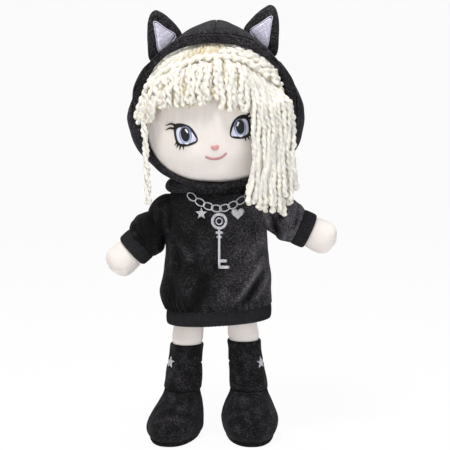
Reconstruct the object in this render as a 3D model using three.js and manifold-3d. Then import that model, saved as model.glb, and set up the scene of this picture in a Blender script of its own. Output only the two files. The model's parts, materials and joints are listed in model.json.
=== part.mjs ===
// A soft doll, about 35 cm tall, in a hooded velvet dress with two animal ears and stuffed boots.
// Millimetres, +Z up, the doll faces -Y and stands on its soles at z = 0. Left and right are the doll's own.
import * as THREE from 'three';
import { mergeVertices } from 'three/addons/utils/BufferGeometryUtils.js';
import Module from 'manifold-3d';

const wasm = await Module();
wasm.setup();

// Fits and cloth
const seam = 0.3;              // gap between two pieces that touch
const stitch = 0.6;            // thickness of embroidery
const cloth = 1.5;             // thickness of the velvet

// Legs and boots, from the floor up
const ankleHeight = 39;
const shaftHeight = 41.5;      // boot shaft above the ankle seam
const hipHeight = 103;
const hipBall = 13;
const legRadius = 12.4;
const legRadiusInBoot = 11.6;
const bootWall = 1.4;
const ankleRadius = 15;
const soleThickness = 2.4;
const footHalfWidth = 22.3;
const toeReach = 43;           // from the ankle to the front of the toe
const heelReach = 24;
const bootMarkSize = 5.2;      // centre to point of the stitched star
const bootMarkDrop = 18.5;     // below the top of the shaft
const legs = [
  { name: 'left', side: 1, hipX: 21, ankleX: 27.2, footShift: 0.4, toeOut: 3 },
  { name: 'right', side: -1, hipX: 20, ankleX: 26.4, footShift: 4.6, toeOut: 11 },
];

// Dress
const hemBelowHip = 7;
const hemBandHeight = 12;
const skirtLength = 93;        // from the hem seam to the neckline
const dressHalfWidth = 45;     // at its widest, above the hem band
const dressChestWidth = 41;
const dressFrontDepth = 33;
const dressBackDepth = 30;
const necklineHalfWidth = 34.5;
const hemHalfWidth = 41.5;
const hemDepth = 30;
const hemBandThickness = 2.4;
const foldHeight = 2;          // how far the deepest fold of the skirt stands out
const neckBandThickness = 2.2;

// Torso and neck
const hipRoom = 3;             // torso's underside above the hips' centres
const torsoHalfWidth = 34.5;
const torsoHalfDepth = 22.5;
const chestHalfWidth = 30;
const neckRadius = 15;
const neckLength = 6;          // how far the neck reaches into the head

// Arms and sleeves
const shoulderBall = 10.5;
const sleeveRoot = 18.5;       // radius of the sleeve where it fills its armhole
const sleeveLength = 30;       // from the shoulder to the cuff
const cuffLength = 11.4;
const cuffThickness = 1.9;
const wristRadius = 12;
const handRadius = 13.2;
const handReach = 22;          // how far the hand comes out of the cuff
const gatherHeight = 1;
const arms = [                 // shoulder in from the chest's side and below the neckline, arm below level
  { name: 'left', side: 1, inset: 3, drop: 16.5, droop: 24 },
  { name: 'right', side: -1, inset: 5, drop: 21.6, droop: 42 },
];

// Head and face
const collarRise = 6;          // head's underside above the neckline
const headHalfWidth = 54;
const headHalfDepth = 45;
const headHeight = 118;
const faceTurn = 8;            // degrees, the crown leans to the doll's right
const faceCentre = [-1.4, -14.4]; // middle of the eyes, across and up from the head's centre
const eyeSpacing = 42.6;
const eyeWidth = 18.4;
const eyeHeight = 20.4;
const noseDrop = 12.6;         // below the line of the eyes
const noseWidth = 7;
const noseHeight = 4.4;
const mouthDrop = 20.4;
const mouthWidth = 15.6;
const mouthLine = 1.7;

// Hair
const fringeThickness = 4.2;
const crownThickness = 5.2;
const crownDepth = 12;         // degrees of the head that the crown row covers
const fringeHem = 8;           // degrees above level at which the fringe ends
const hairlineRise = 62;       // degrees above level at which the hood crosses the middle of the head
const lockThickness = 6.5;
const lockInnerX = 24.5;
const lockOverhang = 13.5;     // side lock past the side of the head
const lockDrop = 25;           // side lock below the head
const strandRadius = 2.8;
const strandDrop = 14;

// Hood
const hoodWall = 2;
const hoodRoom = 16.5;         // from the side of the head to the side of the hood
const hoodPeak = 11;           // from the top of the head to the top of the hood
const hoodBackRoom = 9;
const hoodShift = 1.2;         // the hood sits a little to the doll's left
const openingRoom = 3;         // from the side of the head to the opening
const openingDrop = 6.7;       // the opening's top edge below the head's top
const rimWidth = 7.6;
const rimPinch = 3;            // how much narrower the rim is where it turns from the top to the sides
const rimWidthUnderChin = 4;
const rimThickness = 4;
const openingTopForward = 33;  // opening's edge in front of the head's centre
const openingChinForward = 28;
const openingSideForward = 7;
const earThickness = 9;
const earPanelThickness = 0.8;
const earBorder = 0.34;        // share of the ear's width left round its panel
const earBelowPeak = 11;
const ears = [
  { name: 'left', side: 1, middleX: 41.6, rise: 4 },
  { name: 'right', side: -1, middleX: 44.4, rise: 0 },
];

// Chest embroidery
const linkHalfLength = 3.6;
const linkHalfHeight = 2.7;
const linkWire = 0.55;
const linkCount = 9;
const chainMiddleX = 3.5;
const chainDrop = 11;          // lowest link below the neckline
const chainRise = 8.4;         // height from the lowest link to the ends
const chainHalfWidth = 20;
const keyLength = 44;
const starSize = 5;
const heartSize = 5.2;

// Heights that follow from the sizes above
const bootTop = ankleHeight + shaftHeight;
const hemBottom = hipHeight - hemBelowHip;
const hemTop = hemBottom + hemBandHeight;
const dressTop = hemTop + skirtLength;
const torsoBottom = hipHeight + hipRoom;
const headBottom = dressTop + collarRise;
const headTop = headBottom + headHeight;

// Colours
const skinColour = 0xf1dccf;
const velvetColour = 0x17161a;
const ribColour = 0x1d1c21;
const yarnColour = 0xf3ead0;
const silverColour = 0xb9b8c0;

const TAU = 2 * Math.PI;
const far = 200;               // past every surface of the doll
const doll = new THREE.Group();

// Small maths

function radians(degrees) {
  return (degrees * Math.PI) / 180;
}

function mix(a, b, t) {
  return a + (b - a) * t;
}

function smooth(edge0, edge1, x) {
  const t = Math.min(1, Math.max(0, (x - edge0) / (edge1 - edge0)));
  return t * t * (3 - 2 * t);
}

// Cosine and sine of a point on a superellipse of half-axes 1 and 1.
function oval(angle, power) {
  const c = Math.cos(angle);
  const s = Math.sin(angle);
  const e = 2 / power;
  return [Math.sign(c) * Math.abs(c) ** e, Math.sign(s) * Math.abs(s) ** e];
}

// Values at t, in straight lines between rows of [t, value, value, ...] in rising t.
function stations(rows, t) {
  let i = 0;
  while (i < rows.length - 2 && t > rows[i + 1][0]) i += 1;
  const a = rows[i];
  const b = rows[i + 1];
  const f = Math.min(1, Math.max(0, (t - a[0]) / (b[0] - a[0])));
  return a.slice(1).map((value, k) => mix(value, b[k + 1], f));
}

// Closed meshes

function geometryFrom(points, triangles) {
  const position = new Float32Array(points.flatMap((p) => [p.x, p.y, p.z]));
  let volume = 0;
  for (const [a, b, c] of triangles) {
    volume += points[a].dot(points[b].clone().cross(points[c]));
  }
  const faces = volume < 0 ? triangles.map(([a, b, c]) => [a, c, b]) : triangles;
  const geometry = new THREE.BufferGeometry();
  geometry.setAttribute('position', new THREE.BufferAttribute(position, 3));
  geometry.setIndex(faces.flat());
  return geometry;
}

function bridge(triangles, first, second, sides) {
  for (let j = 0; j < sides; j += 1) {
    const k = (j + 1) % sides;
    triangles.push([first + j, first + k, second + k]);
    triangles.push([first + j, second + k, second + j]);
  }
}

// Rings of points joined in order, with a point closing each end.
function capped(rings, start, end) {
  const sides = rings[0].length;
  const points = rings.flat();
  const triangles = [];
  for (let i = 0; i < rings.length - 1; i += 1) {
    bridge(triangles, i * sides, (i + 1) * sides, sides);
  }
  const last = (rings.length - 1) * sides;
  points.push(start, end);
  for (let j = 0; j < sides; j += 1) {
    const k = (j + 1) % sides;
    triangles.push([points.length - 2, k, j]);
    triangles.push([points.length - 1, last + j, last + k]);
  }
  return geometryFrom(points, triangles);
}

// Rings of points joined in order, the last back to the first.
function looped(rings) {
  const sides = rings[0].length;
  const triangles = [];
  rings.forEach((ring, i) => {
    bridge(triangles, i * sides, ((i + 1) % rings.length) * sides, sides);
  });
  return geometryFrom(rings.flat(), triangles);
}

// A ring of points about a centre, from a function of the angle that gives each point.
function ring(sides, at) {
  return Array.from({ length: sides }, (_, j) => at((j / sides) * TAU));
}

// A round solid along an axis: rows are [distance, radius], the ends closed on the axis.
function turned(rows, place, sides, power = 2, flatten = 1) {
  const rings = rows.slice(1, -1).map(([t, r]) =>
    ring(sides, (angle) => {
      const [c, s] = oval(angle, power);
      return place(t, r * c, r * flatten * s);
    }));
  return capped(rings, place(rows[0][0], 0, 0), place(rows[rows.length - 1][0], 0, 0));
}

// Rows for turned() that draw half of a ball, from its pole at t to its waist, or the other way.
function ballRows(centre, radius, steps, fromPole) {
  return Array.from({ length: steps + 1 }, (_, i) => {
    const a = (i / steps) * (Math.PI / 2);
    return fromPole
      ? [centre - radius * Math.cos(a), radius * Math.sin(a)]
      : [centre + radius * Math.sin(a), radius * Math.cos(a)];
  });
}

// A thin plate that lies on a surface: the outline is drawn in u and v, and place lifts it by h.
function patch(outline, rows, place, low, high, centre = [0, 0]) {
  const shrink = (k, h) => outline.map(([u, v]) =>
    place(mix(centre[0], u, k / rows), mix(centre[1], v, k / rows), h));
  const rings = [];
  for (let k = 1; k <= rows; k += 1) rings.push(shrink(k, low));
  for (let k = rows; k >= 1; k -= 1) rings.push(shrink(k, high));
  return capped(rings, place(...centre, low), place(...centre, high));
}

// A thin slab over a grid of u and v from 0 to 1, with place giving the point at height 0 or 1.
function slab(nu, nv, place) {
  const loop = (v) => {
    const front = Array.from({ length: nu + 1 }, (_, i) => place(i / nu, v, 1));
    const back = Array.from({ length: nu + 1 }, (_, i) => place(1 - i / nu, v, 0));
    return [...front, ...back];
  };
  const rings = Array.from({ length: nv + 1 }, (_, j) => loop(j / nv));
  const sides = rings[0].length;
  const points = rings.flat();
  const triangles = [];
  for (let j = 0; j < nv; j += 1) bridge(triangles, j * sides, (j + 1) * sides, sides);
  const last = nv * sides;
  for (let i = 0; i < nu; i += 1) {
    const a = i;
    const b = sides - 1 - i;
    triangles.push([a, b, b - 1], [a, b - 1, a + 1]);
    triangles.push([last + a, last + b - 1, last + b], [last + a, last + a + 1, last + b - 1]);
  }
  return geometryFrom(points, triangles);
}

// Booleans

function toSolid(geometry) {
  const plain = geometry.clone();
  plain.deleteAttribute('normal');
  plain.deleteAttribute('uv');
  const merged = mergeVertices(plain, 1e-4);
  return new wasm.Manifold(new wasm.Mesh({
    numProp: 3,
    vertProperties: new Float32Array(merged.attributes.position.array),
    triVerts: new Uint32Array(merged.index.array),
  }));
}

function toGeometry(solid) {
  const mesh = solid.getMesh();
  const geometry = new THREE.BufferGeometry();
  geometry.setAttribute('position', new THREE.BufferAttribute(mesh.vertProperties, 3));
  geometry.setIndex(Array.from(mesh.triVerts));
  return geometry;
}

function cut(geometry, ...tools) {
  return toGeometry(tools.reduce((left, tool) => left.subtract(toSolid(tool)), toSolid(geometry)));
}

function keep(geometry, tool) {
  return toGeometry(toSolid(geometry).intersect(toSolid(tool)));
}

function join(...geometries) {
  return toGeometry(geometries.map(toSolid).reduce((all, next) => all.add(next)));
}

function block(low, high) {
  const size = high.map((value, i) => value - low[i]);
  const geometry = new THREE.BoxGeometry(...size);
  return geometry.translate(...low.map((value, i) => value + size[i] / 2));
}

// Everything as near as x to the plane between the doll's left and right.
function between(x) {
  return block([-x, -far, 0], [x, far, 2 * far]);
}

// A ball whose flat faces lie outside its radius, for cutting a socket.
function ball(centre, radius, rows) {
  const outer = radius / Math.cos(Math.PI / (2 * rows)) ** 2;
  return new THREE.SphereGeometry(outer, rows * 2, rows).rotateX(Math.PI / 2).translate(...centre);
}

function add(name, geometry, colour, roughness = 0.9, metalness = 0) {
  const material = new THREE.MeshStandardMaterial({ color: colour, roughness, metalness });
  const mesh = new THREE.Mesh(geometry, material);
  mesh.name = name;
  doll.add(mesh);
}

// Head: taller than wide, fuller at the cheeks than at the crown

const headCentre = new THREE.Vector3(0, -2, mix(headBottom, headTop, 0.5));
const cheekFullness = 2.75;
const crownFullness = 2.2;

// Share of the head's full girth at a height above its centre.
function headGirth(rise) {
  const t = Math.min(1, Math.abs(rise) / (headHeight / 2));
  const power = rise < 0 ? cheekFullness : crownFullness;
  return (1 - t ** power) ** (1 / power);
}

// y of the front of the head at x, z
function headFront(x, z) {
  const girth = headGirth(z - headCentre.z) ** 2;
  const across = ((x - headCentre.x) / headHalfWidth) ** 2;
  return headCentre.y - headHalfDepth * Math.sqrt(Math.max(0, girth - across));
}

// The point of the head in a direction: degrees from the front towards the left, degrees above level.
function onHead(turn, rise, lift) {
  const a = radians(turn);
  const b = radians(rise);
  const way = new THREE.Vector3(Math.sin(a) * Math.cos(b), -Math.cos(a) * Math.cos(b), Math.sin(b));
  let near = 0;
  let far = headHeight;
  for (let i = 0; i < 40; i += 1) {
    const r = (near + far) / 2;
    const across = Math.hypot((r * way.x) / headHalfWidth, (r * way.y) / headHalfDepth);
    if (across < headGirth(r * way.z)) near = r;
    else far = r;
  }
  return headCentre.clone().addScaledVector(way, near + lift);
}

function headSolid() {
  const rows = 15;
  const rings = [];
  for (let i = 1; i < rows; i += 1) {
    const rise = -Math.cos((i / rows) * Math.PI) * (headHeight / 2);
    const girth = headGirth(rise);
    rings.push(ring(30, (angle) => new THREE.Vector3(
      headCentre.x + headHalfWidth * girth * Math.cos(angle),
      headCentre.y + headHalfDepth * girth * Math.sin(angle),
      headCentre.z + rise,
    )));
  }
  const bottom = headCentre.clone().setZ(headBottom);
  const top = headCentre.clone().setZ(headTop);
  return capped(rings, bottom, top);
}

const neckTop = headBottom + neckLength;
const neckSocket = new THREE.CylinderGeometry(neckRadius + seam, neckRadius + seam, 2 * neckLength, 24);
neckSocket.rotateX(Math.PI / 2).translate(0, 0, neckTop + seam - neckLength);
add('head', cut(headSolid(), neckSocket), skinColour);

// Face: embroidered patches that follow the head

function onFace(across, up, lift) {
  const a = radians(faceTurn);
  const x = headCentre.x + faceCentre[0] + across * Math.cos(a) - up * Math.sin(a);
  const z = headCentre.z + faceCentre[1] + across * Math.sin(a) + up * Math.cos(a);
  return new THREE.Vector3(x, headFront(x, z) - lift, z);
}

function facePatch(outline, across, up) {
  const place = (u, v, h) => onFace(across + u, up + v, h);
  return patch(outline, 2, place, seam, seam + stitch);
}

function ovalOutline(halfWidth, halfHeight, sides, power = 2) {
  return Array.from({ length: sides }, (_, i) => {
    const [c, s] = oval((i / sides) * TAU, power);
    return [halfWidth * c, halfHeight * s];
  });
}

const eyeOutline = ovalOutline(eyeWidth / 2, eyeHeight / 2, 16, 2.3);
add('left_eye', facePatch(eyeOutline, eyeSpacing / 2, 0), 0xb9bfe0, 0.5);
add('right_eye', facePatch(eyeOutline, -eyeSpacing / 2, 0), 0xb9bfe0, 0.5);
add('nose', facePatch(ovalOutline(noseWidth / 2, noseHeight / 2, 12), 0, -noseDrop), 0xe79a9c, 0.6);

// The mouth is a curved band, its ends higher than its middle.
const smile = 3.2;
const mouthBand = slab(8, 1, (u, v, h) => {
  const across = (u - 0.5) * mouthWidth;
  const up = smile * (2 * u - 1) ** 2 - mouthDrop - smile / 2 + (v - 0.5) * mouthLine;
  return onFace(across, up, seam + stitch * h);
});
add('mouth', mouthBand, 0xd88a8c, 0.6);

// Hair: slabs of yarn that follow the head, and hanging locks

// Degrees above level at which the hood's edge crosses the head, at a turn from the front.
function hairline(turn) {
  return hairlineRise * (1 - (Math.abs(turn) / 84) ** 3.2);
}

const crownReach = 74;
const fringeInner = 23;        // degrees, where the fringe gives way to the side lock
const fringeOuter = -72;
const bangCount = 9;           // bunches of yarn along the fringe

add('hair_crown', slab(20, 3, (u, v, h) => {
  const turn = mix(-crownReach, crownReach, u);
  const thick = (crownThickness - 3 * (turn / crownReach) ** 2) * mix(1, 0.7, v);
  return onHead(turn, hairline(turn) - mix(crownDepth, -3, v), 2 * seam + thick * h);
}), yarnColour);

// Keeps a turn towards the side lock at the same distance across, whatever the rise.
function levelTurn(turn, rise) {
  if (turn <= 0) return turn;
  const across = Math.sin(radians(turn)) / Math.cos(radians(rise));
  return THREE.MathUtils.radToDeg(Math.asin(Math.min(0.95, across)));
}

const fringe = slab(18, 4, (u, v, h) => {
  const turn = mix(fringeOuter, fringeInner, u);
  const scallop = 2.5 * Math.abs(Math.sin(u * bangCount * Math.PI));
  const bottom = fringeHem - scallop;
  const top = hairline(levelTurn(turn, hairlineRise - crownDepth)) - crownDepth - 1;
  const thick = fringeThickness - 1.6 * smooth(0.35, 0, u);
  const rise = mix(Math.min(bottom, top - 4), top, v);
  return onHead(levelTurn(turn, rise), rise, 2 * seam + thick * h);
});
add('hair_fringe', fringe, yarnColour);

// Back surface of the side lock: on the head at its root, then hanging clear of the hood's rim.
const lockSpread = headHalfWidth + 23;
const lockDepth = headHalfDepth - 0.2;
const lockRootHeight = headCentre.z + 24;
const lockOuterX = headHalfWidth + lockOverhang;
const lockBottom = headBottom - lockDrop;

function lockBack(x, z) {
  const girth = z > headCentre.z ? headGirth(z - headCentre.z) : 1;
  const hanging = headCentre.y - lockDepth * Math.sqrt(Math.max(0.05, girth ** 2 - (x / lockSpread) ** 2));
  const root = headFront(Math.min(x, headHalfWidth * 0.9 * girth), z) - seam - 0.1;
  return mix(hanging, root, smooth(lockRootHeight - 20, lockRootHeight, z));
}

function lockTop(u) {
  const inner = levelTurn(fringeInner + 1.5, hairlineRise - crownDepth);
  const turn = mix(inner, 66, u);
  return onHead(turn, hairline(turn) - crownDepth - 1.4, 0);
}

const lockTips = [10, 8, 4, 7, 3, 0, 10, 17]; // how much shorter each bunch is, inner to outer
const sideLock = slab(14, 10, (u, v, h) => {
  const root = lockTop(u);
  const hangX = mix(lockInnerX, lockOuterX, u);
  const bunch = Math.min(lockTips.length - 1, Math.floor(u * lockTips.length));
  const tip = lockBottom + lockTips[bunch] + (Math.round(u * 14) % 2) * 3;
  const z = mix(tip, root.z, v);
  const x = mix(hangX, root.x, smooth(0.6, 1, v));
  const thick = lockThickness * mix(1, 0.6, v) * mix(0.75, 1, Math.sin(u * Math.PI));
  return new THREE.Vector3(x, lockBack(x, z) - thick * h, z);
});
add('left_side_lock', sideLock, yarnColour);

// The thin strand on the doll's right leaves the end of the fringe and hangs in front of the rim.
const strandRoot = onHead(-66, 16, 2 * seam + fringeThickness - 1.2 + strandRadius);
const strandPath = new THREE.CatmullRomCurve3([
  strandRoot,
  strandRoot.clone().add(new THREE.Vector3(-5, -4, -14)),
  new THREE.Vector3(-headHalfWidth - 3, headCentre.y - 29, headCentre.z - 20),
  new THREE.Vector3(-headHalfWidth - 1, headCentre.y - 32, headCentre.z - 45),
  new THREE.Vector3(-headHalfWidth + 2, headCentre.y - 33, headBottom - strandDrop),
]);
const strandSection = new THREE.Shape().absarc(0, 0, strandRadius, 0, TAU);
add('right_side_strand', new THREE.ExtrudeGeometry(strandSection, {
  curveSegments: 4, steps: 14, extrudePath: strandPath, bevelEnabled: false,
}), yarnColour);

// Hood: a shell from the opening, out to its widest girth and round to the back

const hoodCentreZ = headCentre.z - 9;
const hoodHalfWidth = headHalfWidth + hoodRoom;
const hoodTop = headTop + hoodPeak;
const hoodBottom = headBottom - 4;
const hoodBack = headCentre.y + headHalfDepth + hoodBackRoom;
const hoodGirthY = 8;
const hoodSides = 36;
const openingHalfWidth = headHalfWidth + openingRoom;
const openingTop = headTop - openingDrop;
const openingBottom = headBottom + 2;
const openingMiddle = headCentre.z - 4;
const peakSharpness = 1.6;

// Opening edge at an angle that runs from the doll's left over the top, moved outwards by grow.
function openingEdge(angle, grow) {
  const up = Math.sin(angle) > 0;
  const [c, s] = oval(angle, up ? 2.35 : 2.2);
  const width = openingHalfWidth + grow;
  const height = up ? openingTop - openingMiddle + grow : openingMiddle - openingBottom + grow;
  const furthest = up ? openingTopForward : openingChinForward;
  const forward = mix(openingSideForward, furthest, Math.abs(Math.sin(angle)) ** 1.7);
  return new THREE.Vector3(width * c, headCentre.y - forward, openingMiddle + height * s);
}

function rimWidthAt(angle) {
  const pinch = rimPinch * Math.exp(-(((Math.sin(angle) - 0.6) / 0.3) ** 2));
  return mix(rimWidth, rimWidthUnderChin, smooth(0.2, -0.9, Math.sin(angle))) - pinch;
}

// Widest outline of the hood, in its own plane.
function girthEdge(angle, inset) {
  const up = Math.sin(angle) > 0;
  const [c, s] = oval(angle, up ? peakSharpness : 2);
  const height = up ? hoodTop - hoodCentreZ : hoodCentreZ - hoodBottom;
  return new THREE.Vector3(
    hoodShift + (hoodHalfWidth - inset) * c, hoodGirthY, hoodCentreZ + (height - inset) * s,
  );
}

function hoodRings(inset) {
  const rings = [];
  const steps = 4;
  for (let i = 0; i <= steps; i += 1) {
    const a = (i / steps) * (Math.PI / 2);
    rings.push(ring(hoodSides, (angle) => {
      const from = openingEdge(angle, rimWidthAt(angle) + seam);
      from.y += inset;
      const to = girthEdge(angle, inset);
      return new THREE.Vector3(
        mix(from.x, to.x, Math.sin(a)),
        mix(from.y, to.y, 1 - Math.cos(a)),
        mix(from.z, to.z, Math.sin(a)),
      );
    }));
  }
  for (let i = 1; i < steps + 1; i += 1) {
    const a = (i / (steps + 1)) * (Math.PI / 2);
    rings.push(ring(hoodSides, (angle) => {
      const edge = girthEdge(angle, inset);
      return new THREE.Vector3(
        mix(hoodShift, edge.x, Math.cos(a)),
        mix(hoodGirthY, hoodBack - inset, Math.sin(a)),
        mix(hoodCentreZ + 8, edge.z, Math.cos(a)),
      );
    }));
  }
  return rings;
}

function hoodPole(inset) {
  return new THREE.Vector3(hoodShift, hoodBack - inset, hoodCentreZ + 8);
}

// The space inside the hood's outer surface, grown by a clearance, for what sits against it.
function hoodSpace(grow) {
  const rings = hoodRings(-grow);
  const front = new THREE.Vector3(0, headCentre.y - openingSideForward, openingMiddle);
  return capped(rings, front, hoodPole(-grow));
}

const neckOpeningRise = 14;    // above the head's underside, past the hood's cloth
const neckOpening = {
  halfWidth: necklineHalfWidth - neckBandThickness,
  front: neckRadius + 9,
  back: neckRadius + 5,
};

function neckColumn(inset, low, high) {
  const at = (z) => ring(36, (angle) => {
    const depth = Math.sin(angle) < 0 ? neckOpening.front : neckOpening.back;
    return new THREE.Vector3(
      (neckOpening.halfWidth - inset) * Math.cos(angle),
      (depth - inset) * Math.sin(angle),
      z,
    );
  });
  return capped([at(low), at(high)], new THREE.Vector3(0, 0, low), new THREE.Vector3(0, 0, high));
}

const hoodFloor = headBottom - 1.4;
const shell = capped(
  [...hoodRings(0).reverse(), ...hoodRings(hoodWall)], hoodPole(0), hoodPole(hoodWall),
);
const openShell = cut(
  shell,
  neckColumn(0, 0, headBottom + neckOpeningRise),
  block([-far, -far, 0], [far, far, hoodFloor]),
);
for (const side of [1, -1]) {
  const half = side > 0
    ? block([seam / 2, -far, 0], [far, far, 2 * far])
    : block([-far, -far, 0], [-seam / 2, far, 2 * far]);
  add(side > 0 ? 'hood_left' : 'hood_right', keep(openShell, half), velvetColour);
}

// Rim: a folded band round the opening
const rimRings = Array.from({ length: 36 }, (_, i) => {
  const angle = (i / 36) * TAU;
  const width = rimWidthAt(angle);
  return ring(8, (around) => {
    const [c, s] = oval(around, 3);
    const edge = openingEdge(angle, (width / 2) * (1 + c));
    edge.y += (rimThickness / 2) * s;
    return edge;
  });
});
add('hood_rim', looped(rimRings), velvetColour);

// Ears: small pillows that stand on the hood, each with a silver panel on its front

const earOutline = [
  [-19, -2], [6, -21], [8.9, -6], [9, 3], [8.4, 11], [6.2, 18.2], [2.6, 20.9], [-1.6, 19.2], [-10.5, 11],
]; // across and up from the ear's middle, the foot first, then the outer edge and the tip
const earCurve = new THREE.CatmullRomCurve3(
  earOutline.map(([x, z]) => new THREE.Vector3(x, 0, z)), true, 'centripetal',
);
const earSides = 26;
const earPoints = earCurve.getSpacedPoints(earSides).slice(0, earSides);
const earY = headCentre.y;

for (const { name, side, middleX, rise } of ears) {
  const middle = new THREE.Vector3(side * middleX, earY, hoodTop - earBelowPeak + rise);
  // The outline drawn in to a share of its size, on the front (-1) or back (1) of the pillow.
  const inner = (share, face, lift) => earPoints.map((p) => {
    const dome = (earThickness / 2) * Math.sqrt(1 - share ** 2.5) + lift;
    return new THREE.Vector3(side * p.x * share, face * dome, p.z * share).add(middle);
  });
  const pole = (face, lift) => middle.clone().add(new THREE.Vector3(0, face * (earThickness / 2 + lift), 0));
  const shares = [(1 - earBorder) / 2, 1 - earBorder];
  const rings = [...shares, 0.88, 1].map((share) => inner(share, -1, 0));
  rings.push(...[0.88, 0.6, 0.3].map((share) => inner(share, 1, 0)));
  add(`${name}_ear`, cut(capped(rings, pole(-1, 0), pole(1, 0)), hoodSpace(seam)), velvetColour);
  const low = seam;
  const high = seam + earPanelThickness;
  const panel = capped(
    [...shares.map((k) => inner(k, -1, high)), ...[...shares].reverse().map((k) => inner(k, -1, low))],
    pole(-1, high), pole(-1, low),
  );
  add(`${name}_ear_panel`, cut(panel, hoodSpace(seam)), silverColour, 0.35, 0.6);
}

// Dress: an oval shell with folds, in a front and a back panel

const dressStations = [
  // share of the height, half-width, middle, front depth, back depth
  [0, hemHalfWidth + 1, 3, hemDepth, hemDepth - 2],
  [0.06, dressHalfWidth - 0.6, 1.2, dressFrontDepth - 0.8, dressBackDepth - 0.6],
  [0.15, dressHalfWidth, 0.1, dressFrontDepth, dressBackDepth],
  [0.3, mix(dressHalfWidth, dressChestWidth, 0.6), 1.6, dressFrontDepth, dressBackDepth],
  [0.5, dressChestWidth, 1.2, dressFrontDepth - 0.5, dressBackDepth - 1.2],
  [0.8, dressChestWidth, 1, dressFrontDepth - 2, dressBackDepth - 3.5],
  [0.91, dressChestWidth - 1.5, 1, dressFrontDepth - 4, dressBackDepth - 5.5],
  [1, necklineHalfWidth, 0, neckOpening.front + neckBandThickness, neckOpening.back + neckBandThickness],
];
const dressFullness = 2.25;

// Folds of the skirt front: each end as shares of the half-width and of the height above the hem seam.
const folds = [
  { top: [0.73, 0.69], foot: [0.16, 0.06], height: 1, width: 6 },
  { top: [0.91, 0.45], foot: [0.58, 0.06], height: 0.8, width: 4.5 },
  { top: [0.44, 0.56], foot: [-0.09, 0.04], height: -0.7, width: 6 },
  { top: [-0.84, 0.47], foot: [-0.64, 0.09], height: 0.7, width: 4.5 },
  { top: [-0.49, 0.54], foot: [-0.36, 0.06], height: 0.5, width: 6 },
];

function foldEnd([across, up]) {
  return [across * dressHalfWidth, hemTop + up * skirtLength];
}

function foldAt(x, z) {
  let sum = 0;
  for (const { top, foot, height, width } of folds) {
    const from = foldEnd(top);
    const to = foldEnd(foot);
    const dx = to[0] - from[0];
    const dz = to[1] - from[1];
    const t = ((x - from[0]) * dx + (z - from[1]) * dz) / (dx * dx + dz * dz);
    const off = Math.abs((x - from[0]) * dz - (z - from[1]) * dx) / Math.hypot(dx, dz);
    const ends = smooth(-0.05, 0.3, t) * smooth(1.15, 0.9, t);
    sum += height * foldHeight * ends * Math.exp(-((off / width) ** 2));
  }
  return sum * smooth(hemTop, hemTop + 7, z);
}

function dressAt(z) {
  return stations(dressStations, (z - hemTop) / skirtLength);
}

function dressPoint(angle, z, inset) {
  const [halfWidth, middle, front, back] = dressAt(z);
  const [c, s] = oval(angle, dressFullness);
  const x = middle + (halfWidth - inset) * c;
  const depth = (s < 0 ? front : back) - inset;
  const ripple = s < 0 ? -foldAt(x, z) * smooth(0, -0.5, s) : 0.8 * Math.sin(5 * angle) * smooth(0, 0.5, s);
  return new THREE.Vector3(x, depth * s + ripple * smooth(dressTop, dressTop - 40, z), z);
}

// y of the outside of the dress front at x, z
function dressFront(x, z) {
  const [halfWidth, middle, front] = dressAt(z);
  const across = Math.min(1, Math.abs((x - middle) / halfWidth));
  const s = (1 - across ** dressFullness) ** (1 / dressFullness);
  return -front * s - foldAt(x, z) * smooth(0, -0.5, -s) * smooth(dressTop, dressTop - 40, z);
}

const dressRows = [0, 0.06, 0.15, 0.27, 0.4, 0.54, 0.68, 0.8, 0.91, 1];
const dressHeights = dressRows.map((t) => mix(hemTop + seam, dressTop, t));
const dressSides = 42;
const dressShell = looped([
  ...dressHeights.map((z) => ring(dressSides, (angle) => dressPoint(angle, z, 0))),
  ...dressHeights.reverse().map((z) => ring(dressSides, (angle) => dressPoint(angle, z, cloth))),
]);

// Sleeves and arms lie along an axis that droops from the shoulder

function shoulder(arm) {
  return new THREE.Vector3(arm.side * (dressChestWidth - arm.inset), 0, dressTop - arm.drop);
}

function armPlace(arm) {
  const a = radians(arm.droop);
  const along = new THREE.Vector3(arm.side * Math.cos(a), 0, -Math.sin(a));
  const upwards = new THREE.Vector3(arm.side * Math.sin(a), 0, Math.cos(a));
  const origin = shoulder(arm);
  return (t, up, y) => origin.clone()
    .addScaledVector(along, t)
    .addScaledVector(upwards, up)
    .add(new THREE.Vector3(0, y, 0));
}

const sleeveTurn = 10;         // where the sleeve leaves the ball of its root
const sleeveStart = -11;
const cuffInner = wristRadius + seam;
const cuffOuter = cuffInner + cuffThickness;
const sleeveEndRadius = cuffOuter + 0.4;
const gathers = 7;

function sleeveRadius(t, angle) {
  if (t <= sleeveTurn) return Math.sqrt(Math.max(0, sleeveRoot ** 2 - t ** 2));
  const atTurn = Math.sqrt(sleeveRoot ** 2 - sleeveTurn ** 2);
  const f = (t - sleeveTurn) / (sleeveLength - sleeveTurn);
  const gather = gatherHeight * Math.sin(gathers * angle) * Math.sin(f * Math.PI);
  return mix(atTurn, sleeveEndRadius, f) + gather + 0.8 * Math.sin(f * Math.PI);
}

function sleeveRing(place, t, inset) {
  return ring(24, (angle) => {
    const r = sleeveRadius(t, angle) - inset;
    return place(t, r * Math.cos(angle), r * Math.sin(angle));
  });
}

const sleeveSteps = [
  sleeveStart, -4, 3, sleeveTurn,
  ...[0.3, 0.55, 0.8, 1].map((f) => mix(sleeveTurn, sleeveLength, f)),
];

function sleeveShell(place) {
  return looped([
    ...sleeveSteps.map((t) => sleeveRing(place, t, 0)),
    ...[...sleeveSteps].reverse().map((t) => sleeveRing(place, t, cloth)),
  ]);
}

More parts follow.
